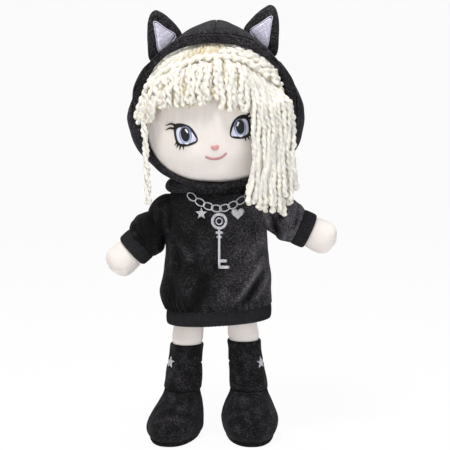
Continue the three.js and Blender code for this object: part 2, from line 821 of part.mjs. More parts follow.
// Everything that the sleeve fills, with its whole root ball, grown by the seam.
function sleeveSpace(place) {
  const steps = [-0.92 * sleeveRoot, -0.78 * sleeveRoot, ...sleeveSteps];
  const rings = steps.map((t) => sleeveRing(place, t, -seam));
  return capped(rings, place(-sleeveRoot - seam, 0, 0), place(sleeveLength + seam, 0, 0));
}

const cuffStart = sleeveLength + seam;
const cuffEnd = sleeveLength + cuffLength;
const armEnd = cuffEnd + handReach;
const armRows = [
  ...ballRows(0, shoulderBall, 3, true),
  [8, shoulderBall - 0.7],
  [18, mix(shoulderBall, wristRadius, 0.4)],
  [sleeveLength - 2, wristRadius],
  [cuffEnd, wristRadius],
  [cuffEnd + 3.5, wristRadius + 0.5],
  [cuffEnd + 10, handRadius],
  [armEnd - 6, handRadius - 1.6],
  [armEnd - 2.2, handRadius * 0.6],
  [armEnd, 0],
];

// The sleeve is sewn in beside the neckline: it lies outboard of this plane, the dress inboard of it.
const armholeX = necklineHalfWidth + seam;
const armholes = [];
for (const arm of arms) {
  const place = armPlace(arm);
  armholes.push(cut(sleeveSpace(place), between(armholeX - seam)));
  add(`${arm.name}_sleeve`, cut(sleeveShell(place), between(armholeX)), velvetColour);
  const cuffRows = [[cuffStart, 0.3], [cuffStart + 1, 0], [cuffEnd - 1, 0], [cuffEnd, 0.3]];
  const cuffRing = (t, r) => ring(22, (a) => place(t, r * Math.cos(a), r * Math.sin(a)));
  const cuff = looped([
    ...cuffRows.map(([t, d]) => cuffRing(t, cuffOuter - d)),
    ...[cuffEnd, cuffStart].map((t) => cuffRing(t, cuffInner)),
  ]);
  add(`${arm.name}_cuff`, cuff, ribColour);
  add(`${arm.name}_arm`, turned(armRows, place, 20, 2, 0.96), skinColour);
}

const dressOpen = cut(dressShell, ...armholes);
const frontHalf = block([-far, -far, 0], [far, -seam / 2, 2 * far]);
const backHalf = block([-far, seam / 2, 0], [far, far, 2 * far]);
add('dress_front', keep(dressOpen, frontHalf), velvetColour);
add('dress_back', keep(dressOpen, backHalf), velvetColour);

// Hem band and neck band

const hemMiddle = 3;
const hemRing = (z, inset) => ring(dressSides, (angle) => {
  const [c, s] = oval(angle, dressFullness);
  const depth = s < 0 ? hemDepth : hemDepth - 2;
  return new THREE.Vector3(hemMiddle + (hemHalfWidth - inset) * c, (depth - inset) * s, z);
});
const hemRows = [[hemBottom, 0.7], [hemBottom + 1, 0], [hemTop - 1, 0], [hemTop, 0.7]];
add('hem_band', looped([
  ...hemRows.map(([z, d]) => hemRing(z, d)),
  hemRing(hemTop, hemBandThickness),
  hemRing(hemBottom, hemBandThickness),
]), ribColour);

const neckBandTop = headBottom + 9;
const neckBand = cut(
  neckColumn(-neckBandThickness, dressTop + seam, neckBandTop),
  neckColumn(0, 0, 2 * far),
  hoodSpace(seam),
  looped(rimRings.map((points) => points.map((p) => p.clone().add(new THREE.Vector3(0, 0, -seam))))),
  block([-far, -far, hoodFloor - seam], [far, headCentre.y, 2 * far]),
);
add('neck_band', neckBand, velvetColour);

// Torso: filled chest and hips, sockets for the limbs, and the neck

const armTools = arms.map((arm) => ball(shoulder(arm).toArray(), shoulderBall + seam, 7));
const legTools = legs.map((leg) => ball([leg.side * leg.hipX, 0, hipHeight], hipBall + seam, 8));
const torsoRows = [
  [torsoBottom, 10, 6],
  [torsoBottom + 2, torsoHalfWidth - 11, torsoHalfDepth - 10],
  [torsoBottom + 6, torsoHalfWidth - 3.5, torsoHalfDepth - 5],
  [torsoBottom + 14, torsoHalfWidth, torsoHalfDepth - 1],
  [mix(torsoBottom, dressTop, 0.3), torsoHalfWidth, torsoHalfDepth],
  [mix(torsoBottom, dressTop, 0.52), mix(torsoHalfWidth, chestHalfWidth, 0.6), torsoHalfDepth - 0.5],
  [mix(torsoBottom, dressTop, 0.72), chestHalfWidth, torsoHalfDepth - 2],
  [dressTop - 14, chestHalfWidth, torsoHalfDepth - 3.5],
  [dressTop - 8, chestHalfWidth - 4, torsoHalfDepth - 5],
  [dressTop - 4, neckRadius + 3, neckRadius + 0.5],
  [dressTop, neckRadius, neckRadius],
  [neckTop, neckRadius, neckRadius],
];
const torsoRings = torsoRows.map(([z, a, b]) => ring(26, (angle) => {
  const [c, s] = oval(angle, z < dressTop ? 2.2 : 2);
  return new THREE.Vector3(a * c, b * s, z);
}));
const torso = capped(torsoRings, new THREE.Vector3(0, 0, torsoBottom), new THREE.Vector3(0, 0, neckTop));
add('torso', cut(torso, ...armTools, ...legTools), skinColour);

// Legs and boots

for (const leg of legs) {
  const name = leg.name;
  const hip = new THREE.Vector3(leg.side * leg.hipX, 0, hipHeight);
  const ankle = new THREE.Vector3(leg.side * leg.ankleX, 0, ankleHeight);
  // The centre of the leg's axis at a height.
  const axis = (z) => hip.clone().lerp(ankle, Math.max(0, hipHeight - z) / (hipHeight - ankleHeight));
  const level = (z, x, y) => axis(z).add(new THREE.Vector3(x, y, 0)).setZ(z);
  const legRows = [
    ...ballRows(hipHeight, hipBall, 4, true).map(([z, r]) => [2 * hipHeight - z, r]),
    [hipHeight - 6, legRadius],
    [bootTop + 3, legRadius],
    [bootTop + 0.5, legRadiusInBoot],
    [ankleHeight + 2 * seam, legRadiusInBoot],
    [ankleHeight + 2 * seam, 0],
  ];
  add(`${name}_leg`, turned(legRows, (z, x, y) => level(z, x, y), 22), skinColour);

  const shaftInner = legRadiusInBoot + seam;
  const bootTopRadius = shaftInner + bootWall;
  const shaftRows = [
    [bootTop, shaftInner], [ankleHeight + seam, shaftInner], [ankleHeight + seam, ankleRadius - 0.6],
    [ankleHeight + 2, ankleRadius], [mix(ankleHeight, bootTop, 0.5), mix(ankleRadius, bootTopRadius, 0.45)],
    [bootTop - 1, bootTopRadius], [bootTop, bootTopRadius - 0.6],
  ];
  add(`${name}_boot_shaft`, looped(shaftRows.map(([z, r]) =>
    ring(24, (a) => level(z, r * Math.cos(a), r * Math.sin(a))))), velvetColour);

  // The foot: rings from the sole up to the ankle, longer at the toe than at the heel.
  const footTop = ankleHeight;
  const footLow = soleThickness + seam;
  const footRows = [
    [footLow, footHalfWidth - 4.4, toeReach - 6, heelReach - 4.2],
    [footLow + 3, footHalfWidth - 1.5, toeReach - 2.2, heelReach - 1.5],
    [footLow + 7.5, footHalfWidth, toeReach, heelReach],
    [footLow + 13, footHalfWidth, toeReach - 1.2, heelReach],
    [mix(footLow, footTop, 0.55), footHalfWidth - 1.8, toeReach - 7, heelReach - 1.5],
    [mix(footLow, footTop, 0.75), footHalfWidth - 4.2, toeReach - 17, heelReach - 4.5],
    [mix(footLow, footTop, 0.9), ankleRadius + 0.6, ankleRadius + 5, ankleRadius + 2],
    [footTop, ankleRadius - 0.3, ankleRadius - 0.3, ankleRadius - 0.3],
  ];
  const turn = radians(leg.toeOut) * leg.side;
  const footPoint = (angle, z, half, toe, heel) => {
    const [c, s] = oval(angle, mix(2.25, 2, (z - footLow) / (footTop - footLow)));
    const x = half * c;
    const y = (s < 0 ? toe : heel) * s;
    const shift = leg.side * leg.footShift * smooth(footTop, footLow + 8, z);
    return new THREE.Vector3(
      ankle.x + shift + x * Math.cos(turn) - y * Math.sin(turn),
      x * Math.sin(turn) + y * Math.cos(turn),
      z,
    );
  };
  const footRings = footRows.map(([z, half, toe, heel]) =>
    ring(24, (angle) => footPoint(angle, z, half, toe, heel)));
  const under = new THREE.Vector3(ankle.x, 0, footLow);
  add(`${name}_boot_foot`, capped(footRings, under, ankle.clone()), velvetColour);

  const soleRing = (z, inset) => ring(24, (angle) =>
    footPoint(angle, footLow, footHalfWidth - 4 - inset, toeReach - 5.6 - inset, heelReach - 3.8 - inset).setZ(z));
  const sole = capped(
    [soleRing(0, 1.2), soleRing(soleThickness * 0.6, 0.3), soleRing(soleThickness, 0.8)],
    new THREE.Vector3(ankle.x, 0, 0), new THREE.Vector3(ankle.x, 0, soleThickness),
  );
  add(`${name}_boot_sole`, sole, velvetColour);

  // A stitched star on the outer side of the shaft, bent round it.
  const markHeight = bootTop - bootMarkDrop;
  const markCentre = leg.side > 0 ? -35 : 215;
  const star = starOutline(bootMarkSize);
  const onShaft = (u, v, h) => {
    const z = markHeight + v;
    const share = (z - ankleHeight) / (bootTop - ankleHeight);
    const r = mix(ankleRadius, bootTopRadius, share) + 0.15 + h;
    const a = radians(markCentre) + u / ankleRadius;
    const centre = axis(z);
    return new THREE.Vector3(centre.x + r * Math.cos(a), centre.y + r * Math.sin(a), z);
  };
  add(`${name}_boot_star`, patch(star, 2, onShaft, seam, seam + stitch), silverColour, 0.5, 0.3);
}

// Chest embroidery: a chain of linked rings with a key, a star and a heart

function starOutline(size) {
  return Array.from({ length: 20 }, (_, i) => {
    const corner = Math.floor(i / 2);
    const here = radians(90 + corner * 36);
    const next = radians(90 + (corner + 1) * 36);
    const rHere = corner % 2 ? size * 0.45 : size;
    const rNext = corner % 2 ? size : size * 0.45;
    const point = [rHere * Math.cos(here), rHere * Math.sin(here)];
    const after = [rNext * Math.cos(next), rNext * Math.sin(next)];
    return i % 2 ? [(point[0] + after[0]) / 2, (point[1] + after[1]) / 2] : point;
  });
}

function heartOutline(size) {
  return Array.from({ length: 22 }, (_, i) => {
    const a = (i / 22) * TAU;
    const x = 16 * Math.sin(a) ** 3;
    const z = 13 * Math.cos(a) - 5 * Math.cos(2 * a) - 2 * Math.cos(3 * a) - Math.cos(4 * a);
    return [(x / 16) * size, (z / 16) * size];
  });
}

function onChest(x, z, lift) {
  return new THREE.Vector3(x, dressFront(x, z) - lift, z);
}

// A flat ring of thread about a centre, tilted along the chain.
function link(x, z, slope, halfLength, halfHeight, wire) {
  const rings = Array.from({ length: 9 }, (_, i) => {
    const a = (i / 9) * TAU;
    return ring(4, (around) => {
      const grow = wire * Math.SQRT2 * Math.cos(around + Math.PI / 4);
      const lift = seam + (stitch / 2) * (1 + Math.SQRT2 * Math.sin(around + Math.PI / 4));
      const u = (halfLength - wire + grow) * Math.cos(a);
      const v = (halfHeight - wire + grow) * Math.sin(a);
      return onChest(
        x + u * Math.cos(slope) - v * Math.sin(slope),
        z + u * Math.sin(slope) + v * Math.cos(slope),
        lift,
      );
    });
  });
  return looped(rings);
}

const chainLow = dressTop - chainDrop;
const chainHeight = (x) => chainLow + chainRise * (Math.abs(x - chainMiddleX) / chainHalfWidth) ** 1.7;
const chain = Array.from({ length: linkCount }, (_, i) => {
  const x = chainMiddleX + mix(-chainHalfWidth, chainHalfWidth, i / (linkCount - 1));
  const slope = Math.atan2(chainHeight(x + 1) - chainHeight(x - 1), 2);
  return link(x, chainHeight(x), slope, linkHalfLength, linkHalfHeight, linkWire);
});
add('chain_embroidery', join(...chain), silverColour, 0.4, 0.6);

// Each pendant hangs just under the chain; its parts are joined into one piece of thread.
const hang = 0.5;

function bar(x0, x1, z0, z1) {
  const nu = Math.max(1, Math.round((x1 - x0) / 4));
  const nv = Math.max(1, Math.round((z1 - z0) / 5));
  return slab(nu, nv, (u, v, h) => onChest(mix(x0, x1, u), mix(z0, z1, v), seam + stitch * h));
}

const keyTop = chainHeight(chainMiddleX) - linkHalfHeight - hang;
const bow = 6.5;
const keyFoot = keyTop - keyLength;
const shaftHalf = 1.1;
const key = join(
  link(chainMiddleX, keyTop - bow, 0, bow, bow, 1.1),
  bar(chainMiddleX - shaftHalf, chainMiddleX + shaftHalf, keyFoot, keyTop - 2 * bow + 1),
  bar(chainMiddleX - 3, chainMiddleX + 3, keyTop - 2 * bow - 3.4, keyTop - 2 * bow - 1.6),
  bar(chainMiddleX, chainMiddleX + 8, keyFoot, keyFoot + 2.6),
  bar(chainMiddleX, chainMiddleX + 6, keyFoot + 5, keyFoot + 7.6),
);
add('key_embroidery', key, silverColour, 0.4, 0.6);

function pendant(name, outline, size, fromMiddle) {
  const x = chainMiddleX + fromMiddle;
  const z = chainHeight(x) - linkHalfHeight - hang - size;
  const place = (u, v, h) => onChest(x + u, z + v, h);
  add(name, patch(outline, 2, place, seam, seam + stitch), silverColour, 0.4, 0.6);
}

pendant('star_embroidery', starOutline(starSize), starSize, -14);
pendant('heart_embroidery', heartOutline(heartSize), heartSize, 14.5);

// The origin is the middle of the doll's box on the floor.
const box = new THREE.Box3().setFromObject(doll);
const centre = box.getCenter(new THREE.Vector3());
doll.position.set(-centre.x, -centre.y, -box.min.z);
doll.updateMatrixWorld(true);

export default doll;
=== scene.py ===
"""A soft doll about 35 cm tall: yarn hair, a hooded velvet dress with two animal ears, and stuffed boots.

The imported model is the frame. Every shape here is a function of two parameters worked out in millimetres,
in the frame's own axes, and turned to metres when its mesh is made. Left and right are the doll's own.
"""
import json
import math

import bpy
import numpy as np
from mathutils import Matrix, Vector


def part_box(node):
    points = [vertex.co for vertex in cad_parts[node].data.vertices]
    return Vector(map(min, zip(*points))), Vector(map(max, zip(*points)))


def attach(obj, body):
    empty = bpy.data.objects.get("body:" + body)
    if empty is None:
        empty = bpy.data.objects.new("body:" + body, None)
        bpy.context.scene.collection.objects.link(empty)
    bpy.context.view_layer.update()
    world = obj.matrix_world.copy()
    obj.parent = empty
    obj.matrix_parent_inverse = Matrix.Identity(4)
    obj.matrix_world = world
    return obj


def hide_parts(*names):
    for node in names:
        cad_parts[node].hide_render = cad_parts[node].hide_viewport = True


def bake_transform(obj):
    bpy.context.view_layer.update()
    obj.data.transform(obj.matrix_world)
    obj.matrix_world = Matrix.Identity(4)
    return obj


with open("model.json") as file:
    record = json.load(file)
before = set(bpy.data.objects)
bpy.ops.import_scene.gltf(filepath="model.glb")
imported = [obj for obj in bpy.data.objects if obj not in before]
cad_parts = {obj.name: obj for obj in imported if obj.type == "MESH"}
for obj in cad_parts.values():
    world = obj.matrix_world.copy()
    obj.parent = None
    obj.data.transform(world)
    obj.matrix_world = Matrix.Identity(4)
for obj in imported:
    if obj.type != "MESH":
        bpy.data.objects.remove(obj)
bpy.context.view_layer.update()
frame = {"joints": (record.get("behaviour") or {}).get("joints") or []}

bl_info = {
    "name": "Soft Doll",
    "version": (1, 0, 0),
    "blender": (4, 5, 0),
    "location": "View3D > Sidebar > Doll",
    "description": "Builds the cloth, plush, yarn and stitching of a soft doll round its packed model",
    "category": "Add Mesh",
}

MM = 0.001
TAU = 2 * math.pi
SIGN = {"left": 1, "right": -1}      # which way along x each side of the doll lies


# Small maths

def mix(a, b, t):
    """a at t 0 and b at t 1, in a straight line."""
    return a + (b - a) * t


def smooth(edge0, edge1, x):
    """0 before edge0 and 1 after edge1, with a soft start and end."""
    t = np.clip((np.asarray(x, float) - edge0) / (edge1 - edge0), 0, 1)
    return t * t * (3 - 2 * t)


def xyz(*parts):
    """Points from their coordinates, which are numbers or arrays of any shapes that fit together."""
    return np.stack(np.broadcast_arrays(*parts), axis=-1)


def turns(count):
    """count even angles round a circle."""
    return np.arange(count) * TAU / count


def unit(vectors):
    """Each vector divided by its length."""
    return vectors / np.maximum(np.linalg.norm(vectors, axis=-1, keepdims=True), 1e-9)


def oval(angle, power):
    """Cosine and sine of a point on a superellipse: each raised to 2 / power, its sign kept."""
    c, s = np.cos(angle), np.sin(angle)
    return np.sign(c) * np.abs(c) ** (2 / power), np.sign(s) * np.abs(s) ** (2 / power)


def stations(rows, t, soft=0.03):
    """Columns of rows at t: straight between the rows, averaged over a window so that corners are round."""
    at, *columns = np.transpose(rows)
    window = np.linspace(-soft, soft, 7)
    return [np.mean([np.interp(t + w, at, column) for w in window], axis=0) for column in columns]


def lumps(points, size, seed):
    """Soft unevenness, mostly from -1 to 1: a quarter of the sum of nine random plane waves about size long."""
    rng = np.random.default_rng(seed)
    total = np.zeros(points.shape[:-1])
    for _ in range(9):
        way = unit(rng.normal(size=3)) * TAU / (size * rng.uniform(0.7, 1.5))
        total += np.cos(points @ way + rng.uniform(0, TAU))
    return total / 4


def spline(a, b, c, d, t):
    """From b at t 0 to c at t 1 on a centripetal Catmull-Rom curve: a cubic whose knots are spaced by the roots
    of the distances between its points, so that it neither loops nor overshoots."""
    before, here, after = (
        np.sqrt(np.maximum(np.linalg.norm(q - p, axis=-1, keepdims=True), 1e-6))
        for p, q in ((a, b), (b, c), (c, d)))
    leave = ((b - a) / before - (c - a) / (before + here)) * here + (c - b)
    arrive = ((d - c) / after - (d - b) / (here + after)) * here + (c - b)
    return (
        (2 * t ** 3 - 3 * t ** 2 + 1) * b + (t ** 3 - 2 * t ** 2 + t) * leave
        + (3 * t ** 2 - 2 * t ** 3) * c + (t ** 3 - t ** 2) * arrive
    )


def evenly(curve, count):
    """count points at even distances round a closed line of points."""
    loop = np.vstack([curve, curve[:1]])
    along = np.append(0, np.cumsum(np.linalg.norm(np.diff(loop, axis=0), axis=1)))
    at = np.arange(count) * along[-1] / count
    return xyz(*(np.interp(at, along, column) for column in loop.T))


def closed_curve(points, count):
    """count points at even distances on a closed spline through the points."""
    p = np.asarray(points, float)
    u = np.arange(16 * len(p)) / 16
    i = u.astype(int)
    a, b, c, d = (p[(i + k) % len(p)] for k in (-1, 0, 1, 2))
    return evenly(spline(a, b, c, d, (u - i)[:, None]), count)


def open_curve(points, count):
    """count points on a spline through the points, its ends run on in a straight line."""
    p = np.asarray(points, float)
    p = np.vstack([2 * p[0] - p[1], p, 2 * p[-1] - p[-2]])
    u = np.linspace(0, len(p) - 3 - 1e-9, count)
    i = np.floor(u).astype(int)
    a, b, c, d = (p[i + k] for k in range(4))
    return spline(a, b, c, d, (u - i)[:, None])


# Meshes

def grid_faces(rows, columns, wrap):
    """Corner numbers of the quads between neighbouring rows, and each corner's (row, column) for its UV."""
    i, j = np.meshgrid(np.arange(rows - 1), np.arange(columns if wrap else columns - 1), indexing="ij")
    corners = xyz(i, j, i, j + 1, i + 1, j + 1, i + 1, j).reshape(-1, 4, 2)
    return corners[..., 0] * columns + corners[..., 1] % columns, corners


# tone of a piece with no painted light or shade
PLAIN_TONE = 0.5


def build_mesh(name, grids, wrap=True, caps=True, drop=None, tones=None):
    """One mesh from (rows, columns, 3) arrays of millimetres.

    Quads join each row to the next. wrap joins a row's last point to its first, and caps close the first and
    last rows with a fan to their middle. drop says which quads to leave out, from their middles. UV is in
    metres along the row and across the rows. tones gives each grid its values of the attribute "tone", one
    number or (rows, columns) of them: painted light and shade, with some random unevenness, for the
    materials that read it.
    """
    vertices, faces, uvs, tone = [], [], [], []
    first = 0
    for grid, shade in zip(grids, tones or [PLAIN_TONE] * len(grids)):
        rows, columns = grid.shape[:2]
        flat = grid.reshape(-1, 3)
        quads, corners = grid_faces(rows, columns, wrap)
        p = flat[quads]
        normal = np.cross(p[:, 2] - p[:, 0], p[:, 3] - p[:, 1])
        outward = np.einsum("ij,ij->", p.mean(1) - flat.mean(0), normal)
        across = np.linalg.norm(np.diff(grid, axis=1), axis=-1).mean()
        along = np.append(0, np.cumsum(np.linalg.norm(np.diff(grid, axis=0), axis=-1).mean(1)))
        uv = xyz(corners[..., 1] * across, along[corners[..., 0]])
        if drop is not None:
            keep = ~drop(p.mean(1))
            quads, uv = quads[keep], uv[keep]
        step = 1 if outward > 0 else -1
        faces += (first + quads[:, ::step]).tolist()
        uvs.append(uv[:, ::step].reshape(-1, 2))
        vertices.append(flat)
        if caps:
            ring, last = np.arange(columns), (rows - 1) * columns
            after = np.roll(ring, -1)
            low = xyz(np.full(columns, rows * columns), after, ring)
            high = xyz(np.full(columns, rows * columns + 1), last + ring, last + after)
            fans = np.vstack([low, high])
            faces += (first + fans[:, ::step]).tolist()
            uvs.append(np.repeat([[0.0, along[-1]]], fans.size, axis=0))
            vertices.append(np.array([grid[0].mean(0), grid[-1].mean(0)]))
        shade = np.broadcast_to(shade, (rows, columns))
        tone += [shade.ravel(), [shade[0].mean(), shade[-1].mean()] if caps else []]
        first += rows * columns + (2 if caps else 0)
    mesh = bpy.data.meshes.new(name)
    mesh.from_pydata((np.vstack(vertices) * MM).tolist(), [], faces)
    layer = mesh.uv_layers.new(name="UVMap")
    layer.data.foreach_set("uv", (np.vstack(uvs) * MM).ravel())
    attribute = mesh.attributes.new("tone", "FLOAT", "POINT")
    attribute.data.foreach_set("value", np.concatenate(tone))
    mesh.polygons.foreach_set("use_smooth", [True] * len(mesh.polygons))
    mesh.update()
    return mesh


def add_piece(name, grids, finish, body, stands_for=(), slot=None, wall=0.0, **shape):
    """Links the mesh of some grids as an object that rides on a body and stands for CAD nodes.

    finish is the short name of its material, wall thickens a sheet inwards, and shape goes to build_mesh.
    """
    mesh = build_mesh(name, grids, **shape)
    mesh.materials.append(material(finish))
    piece = bpy.data.objects.new(name, mesh)
    bpy.context.scene.collection.objects.link(piece)
    if wall:
        solid = piece.modifiers.new("wall", "SOLIDIFY")
        solid.thickness = wall * MM
        solid.offset = -1
    if body:
        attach(piece, body)
    if stands_for:
        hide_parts(*stands_for)
    return piece


def tube(path, radius, out, sides=12, lobes=0.0, pitch=8.0, phase=0.0):
    """A profile carried along a path.

    path is (n, 3) and radius (n,) or one number. The section is a circle whose radius swells twice round it by
    the share lobes, and it turns once every pitch along the path, as two plies do. Both ends are round. out
    points away from what the tube lies on.
    """
    path = np.asarray(path, float)
    radius = np.broadcast_to(radius, len(path)).astype(float)
    step = np.linalg.norm(np.diff(path, axis=0), axis=1)
    along = np.append(0, np.cumsum(step))
    to_end = np.minimum(along, along[-1] - along)
    r = radius * np.sqrt(np.clip(1 - (1 - np.minimum(to_end / radius, 1)) ** 2, 0.02, 1))
    tangent = unit(np.gradient(path, axis=0))
    side = unit(np.cross(tangent, out))
    angle = turns(sides)[None, :, None]
    turn = (phase + TAU * along / pitch)[:, None, None]
    section = r[:, None, None] * (1 + lobes * np.cos(2 * (angle - turn)))
    return (
        path[:, None] + section * np.cos(angle) * side[:, None]
        + section * np.sin(angle) * np.cross(side, tangent)[:, None]
    )


def raised(outline, at, low, high, rings=7):
    """A pad of stitching: the outline drawn in to its middle in rings, domed from low at its edge to high.

    outline is (n, 2) and at(across, up, lift) puts a point on the surface that carries the pad. A last ring
    tucks the edge in under it.
    """
    middle = outline.mean(0)
    shares = np.linspace(0.08, 1, rings)
    lifts = np.append(low + (high - low) * np.sqrt(1 - shares ** 6), low - 0.25)
    flat = middle + (outline - middle)[None] * np.append(shares, 0.9)[:, None, None]
    return at(flat[..., 0], flat[..., 1], lifts[:, None])


def stroke(points, widths, at, low, high, count=24):
    """A raised line of satin stitch: a half-round strip along a curve, its width running through widths."""
    curve = open_curve(points, count)
    width = np.interp(np.linspace(0, 1, count), np.linspace(0, 1, len(widths)), widths)
    tangent = unit(np.gradient(curve, axis=0))
    side = xyz(-tangent[:, 1], tangent[:, 0])
    angle = turns(10)
    across = curve[:, None] + side[:, None] * (width[:, None] * np.cos(angle)[None] / 2)[..., None]
    rise = np.minimum(1, width / max(widths))[:, None]
    lift = mix(low, high, 0.5) + (high - low) / 2 * np.sin(angle)[None] * rise
    return at(across[..., 0], across[..., 1], lift)


# Places that come from the frame, in millimetres

def box_mm(*nodes):
    """Lowest and highest corner of some CAD nodes together."""
    boxes = np.array([[list(corner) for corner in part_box(node)] for node in nodes]) / MM
    return boxes[:, 0].min(0), boxes[:, 1].max(0)


def middle_of(node):
    """Middle of a CAD node's box as seen from the front, (x, z)."""
    low, high = box_mm(node)
    return (low + high)[[0, 2]] / 2


def pivot(name):
    """The point that a joint turns about."""
    return np.array(next(joint["pos_m"] for joint in frame["joints"] if joint["name"] == name)) / MM


X0, Y0, _ = pivot("head_turn")

head_low, head_high = box_mm("head")
HEAD = (head_low + head_high) / 2
HEAD_HALF_WIDTH, HEAD_HALF_DEPTH, HEAD_HALF_HEIGHT = (head_high - head_low) / 2
HEAD_BOTTOM, HEAD_TOP = head_low[2], head_high[2]
DRESS_TOP = box_mm("dress_front", "dress_back")[1][2]
HEM_BOTTOM, HEM_TOP = (corner[2] for corner in box_mm("hem_band"))


# Head

CHEEK_FULLNESS = 3.2
CROWN_FULLNESS = 2.2


def head_girth(rise):
    """Share of the head's full girth at a height above its centre: a superellipse, fuller below than above."""
    t = np.minimum(1, np.abs(rise) / HEAD_HALF_HEIGHT)
    power = np.where(rise < 0, CHEEK_FULLNESS, CROWN_FULLNESS)
    return np.maximum(0, 1 - t ** power) ** (1 / power)


def head_front(x, z):
    """y of the front of the head at x, z: the near half of an ellipse whose size is the girth there."""
    girth = head_girth(z - HEAD[2]) ** 2
    across = ((x - HEAD[0]) / HEAD_HALF_WIDTH) ** 2
    return HEAD[1] - HEAD_HALF_DEPTH * np.sqrt(np.maximum(0, girth - across))


def on_head(turn, rise, lift):
    """The point of the head in a direction, turn degrees from the front to the left and rise above level.

    The distance is halved in on until it meets the girth, and lift is added to it.
    """
    a, b, lift = np.broadcast_arrays(np.radians(turn), np.radians(rise), np.asarray(lift, float))
    way = xyz(np.sin(a) * np.cos(b), -np.cos(a) * np.cos(b), np.sin(b))
    near, far = np.zeros(a.shape), np.full(a.shape, 2 * HEAD_HALF_HEIGHT)
    for _ in range(26):
        r = (near + far) / 2
        across = np.hypot(r * way[..., 0] / HEAD_HALF_WIDTH, r * way[..., 1] / HEAD_HALF_DEPTH)
        inside = across < head_girth(r * way[..., 2])
        near, far = np.where(inside, r, near), np.where(inside, far, r)
    return HEAD + way * (near + lift)[..., None]


def head_skin():
    """The stuffed head: rings of the girth from under the chin to the crown, with a little unevenness."""
    fall = np.linspace(0.02, math.pi - 0.02, 120)[:, None]
    angle = turns(160)[None]
    rise = -np.cos(fall) * HEAD_HALF_HEIGHT
    girth = head_girth(rise)
    points = HEAD + xyz(
        HEAD_HALF_WIDTH * girth * np.cos(angle), HEAD_HALF_DEPTH * girth * np.sin(angle), rise)
    return points + unit(points - HEAD) * (0.25 * lumps(points, 26, 1))[..., None]


# Face

EYE_AT = {side: middle_of(f"{side}_eye") for side in SIGN}
FACE_ACROSS = unit(EYE_AT["left"] - EYE_AT["right"])
FACE_UP = np.array([-FACE_ACROSS[1], FACE_ACROSS[0]])


def on_face(centre):
    """A place function for patches whose outlines are across and up the tilted face from a centre (x, z)."""
    def at(across, up, lift):
        x, z = (centre[k] + across * FACE_ACROSS[k] + up * FACE_UP[k] for k in (0, 1))
        return xyz(x, head_front(x, z) - lift, z)
    return at


def ellipse(across, up, half_width, half_height):
    """Points of an ellipse about a centre."""
    return xyz(across + half_width * np.cos(turns(48)), up + half_height * np.sin(turns(48)))


# The eye on the doll's right, across and up from its middle; the other is its mirror image.
EYE_OUTLINE = [
    (-7.6, 8.2), (-3.3, 9.7), (3.0, 7.3), (7.2, 2.2), (8.9, -5.6), (3.8, -8.3), (-3.9, -8.7), (-7.4, -6.6),
    (-8.7, 1.4),
]
EYE_WHITE = [
    (-6.2, 5.9), (-2.6, 7.0), (2.6, 5.1), (6.1, 1.3), (8.0, -5.0), (3.6, -6.9), (-3.4, -7.1), (-6.2, -5.4),
    (-7.3, 1.2),
]
EYE_PADS = (            # part, outline, height at its edge and in its middle, finish
    ("outline", closed_curve(EYE_OUTLINE, 90), 0.1, 0.75, "black thread"),
    ("white", closed_curve(EYE_WHITE, 90), 0.5, 0.95, "eye white"),
    ("iris", ellipse(0.1, -0.3, 5.3, 7.2), 0.75, 1.15, "iris"),
    ("iris_glow", ellipse(0.1, -0.9, 4.5, 6.3), 0.95, 1.3, "iris glow"),
    ("pupil", ellipse(0.1, 0.1, 3.7, 5.7), 1.1, 1.5, "pupil"),
)
UPPER_LASHES = [(-6.6, 8.3), (-10.2, 9.6), (-14.3, 8.6)], [(-7.9, 5.8), (-11.4, 6.4), (-14.8, 5.2)]
LOWER_LASHES = (
    [(-6.8, -6.8), (-8.3, -9.4)], [(-5.0, -8.0), (-6.2, -11.2)], [(-2.8, -8.4), (-3.1, -11.3)],
    [(-7.4, -5.2), (-9.6, -7.0)],
)
EYE_LINES = (           # part, curves, widths from end to end, height at the edge and in the middle, finish
    ("shine", [[(0.7, 4.6), (2.3, 1.5)]], [1.3, 1.5, 1.1], 1.3, 1.8, "shine"),
    ("lower_shine", [[(-1.6, -6.0), (0.6, -6.7), (2.6, -5.7)]], [0.5, 1.2, 0.5], 1.1, 1.5, "shine"),
    ("upper_lashes", UPPER_LASHES, [2.0, 1.4, 0.5], 0.1, 0.9, "black thread"),
    ("lower_lashes", LOWER_LASHES, [1.7, 0.9, 0.4], 0.1, 0.8, "black thread"),
)
NOSE = [(-3.3, 0.9), (-1.6, 2.1), (0, 1.6), (1.6, 2.1), (3.3, 0.9), (2.1, -1.4), (0, -2.2), (-2.1, -1.4)]
MOUTH = [(-8.2, 1.2), (-4.3, -0.9), (0.2, -1.6), (4.5, -0.7), (8.2, 1.9)]
MOUTH_WIDTHS = [1.7, 1.9, 2.1, 1.9, 1.6]


# Hair

HAIRLINE_RISE = 62      # degrees above level at which the hood's edge crosses the front of the head
YARN_STEP = 0.72        # from one ring of a strand to the next
YARN_SIDES = 12
YARN_PITCH = 6.0        # length of one turn of the plies, as a multiple of the strand's radius

# Lines on the head, as (turn, rise) in degrees: where the fringe is sewn on and where it ends, from the doll's
# right to its left, the ropes that cover the sewn rows, and the roots of the side lock.
FRINGE_TOP = [(-65.7, 23), (-50.8, 30), (-34.6, 37), (-15.2, 42), (0.5, 44), (16.5, 43), (32.6, 38)]
FRINGE_END = [(-67, -1), (-51.4, 2.5), (-36, 4), (-22, 4.5), (-8.5, 7.5), (6.7, 3), (18.4, 0.5), (30, 1.5)]
FRINGE_BUNCHES = np.array([0.05, 0.16, 0.26, 0.36, 0.47, 0.56, 0.71, 0.81, 0.93])
# tone is painted shade: the deeper layers darker
FRINGE_LAYERS = (        # strands, how far each layer stands out, tone, raggedness
    (28, 0.0, 0.3, 1.5), (20, 1.5, 0.68, 3.0), (16, 3.2, 0.88, 3.4),
)
PARTING = 0.645         # share along the fringe at which it opens over the nose
# tone is painted shade: the lower layer, lying under the others, darkest
CROWN_LAYERS = ((60, 0.0, 0.9), (36, 0.22, 2.2))     # strands, tone and how far each layer stands out
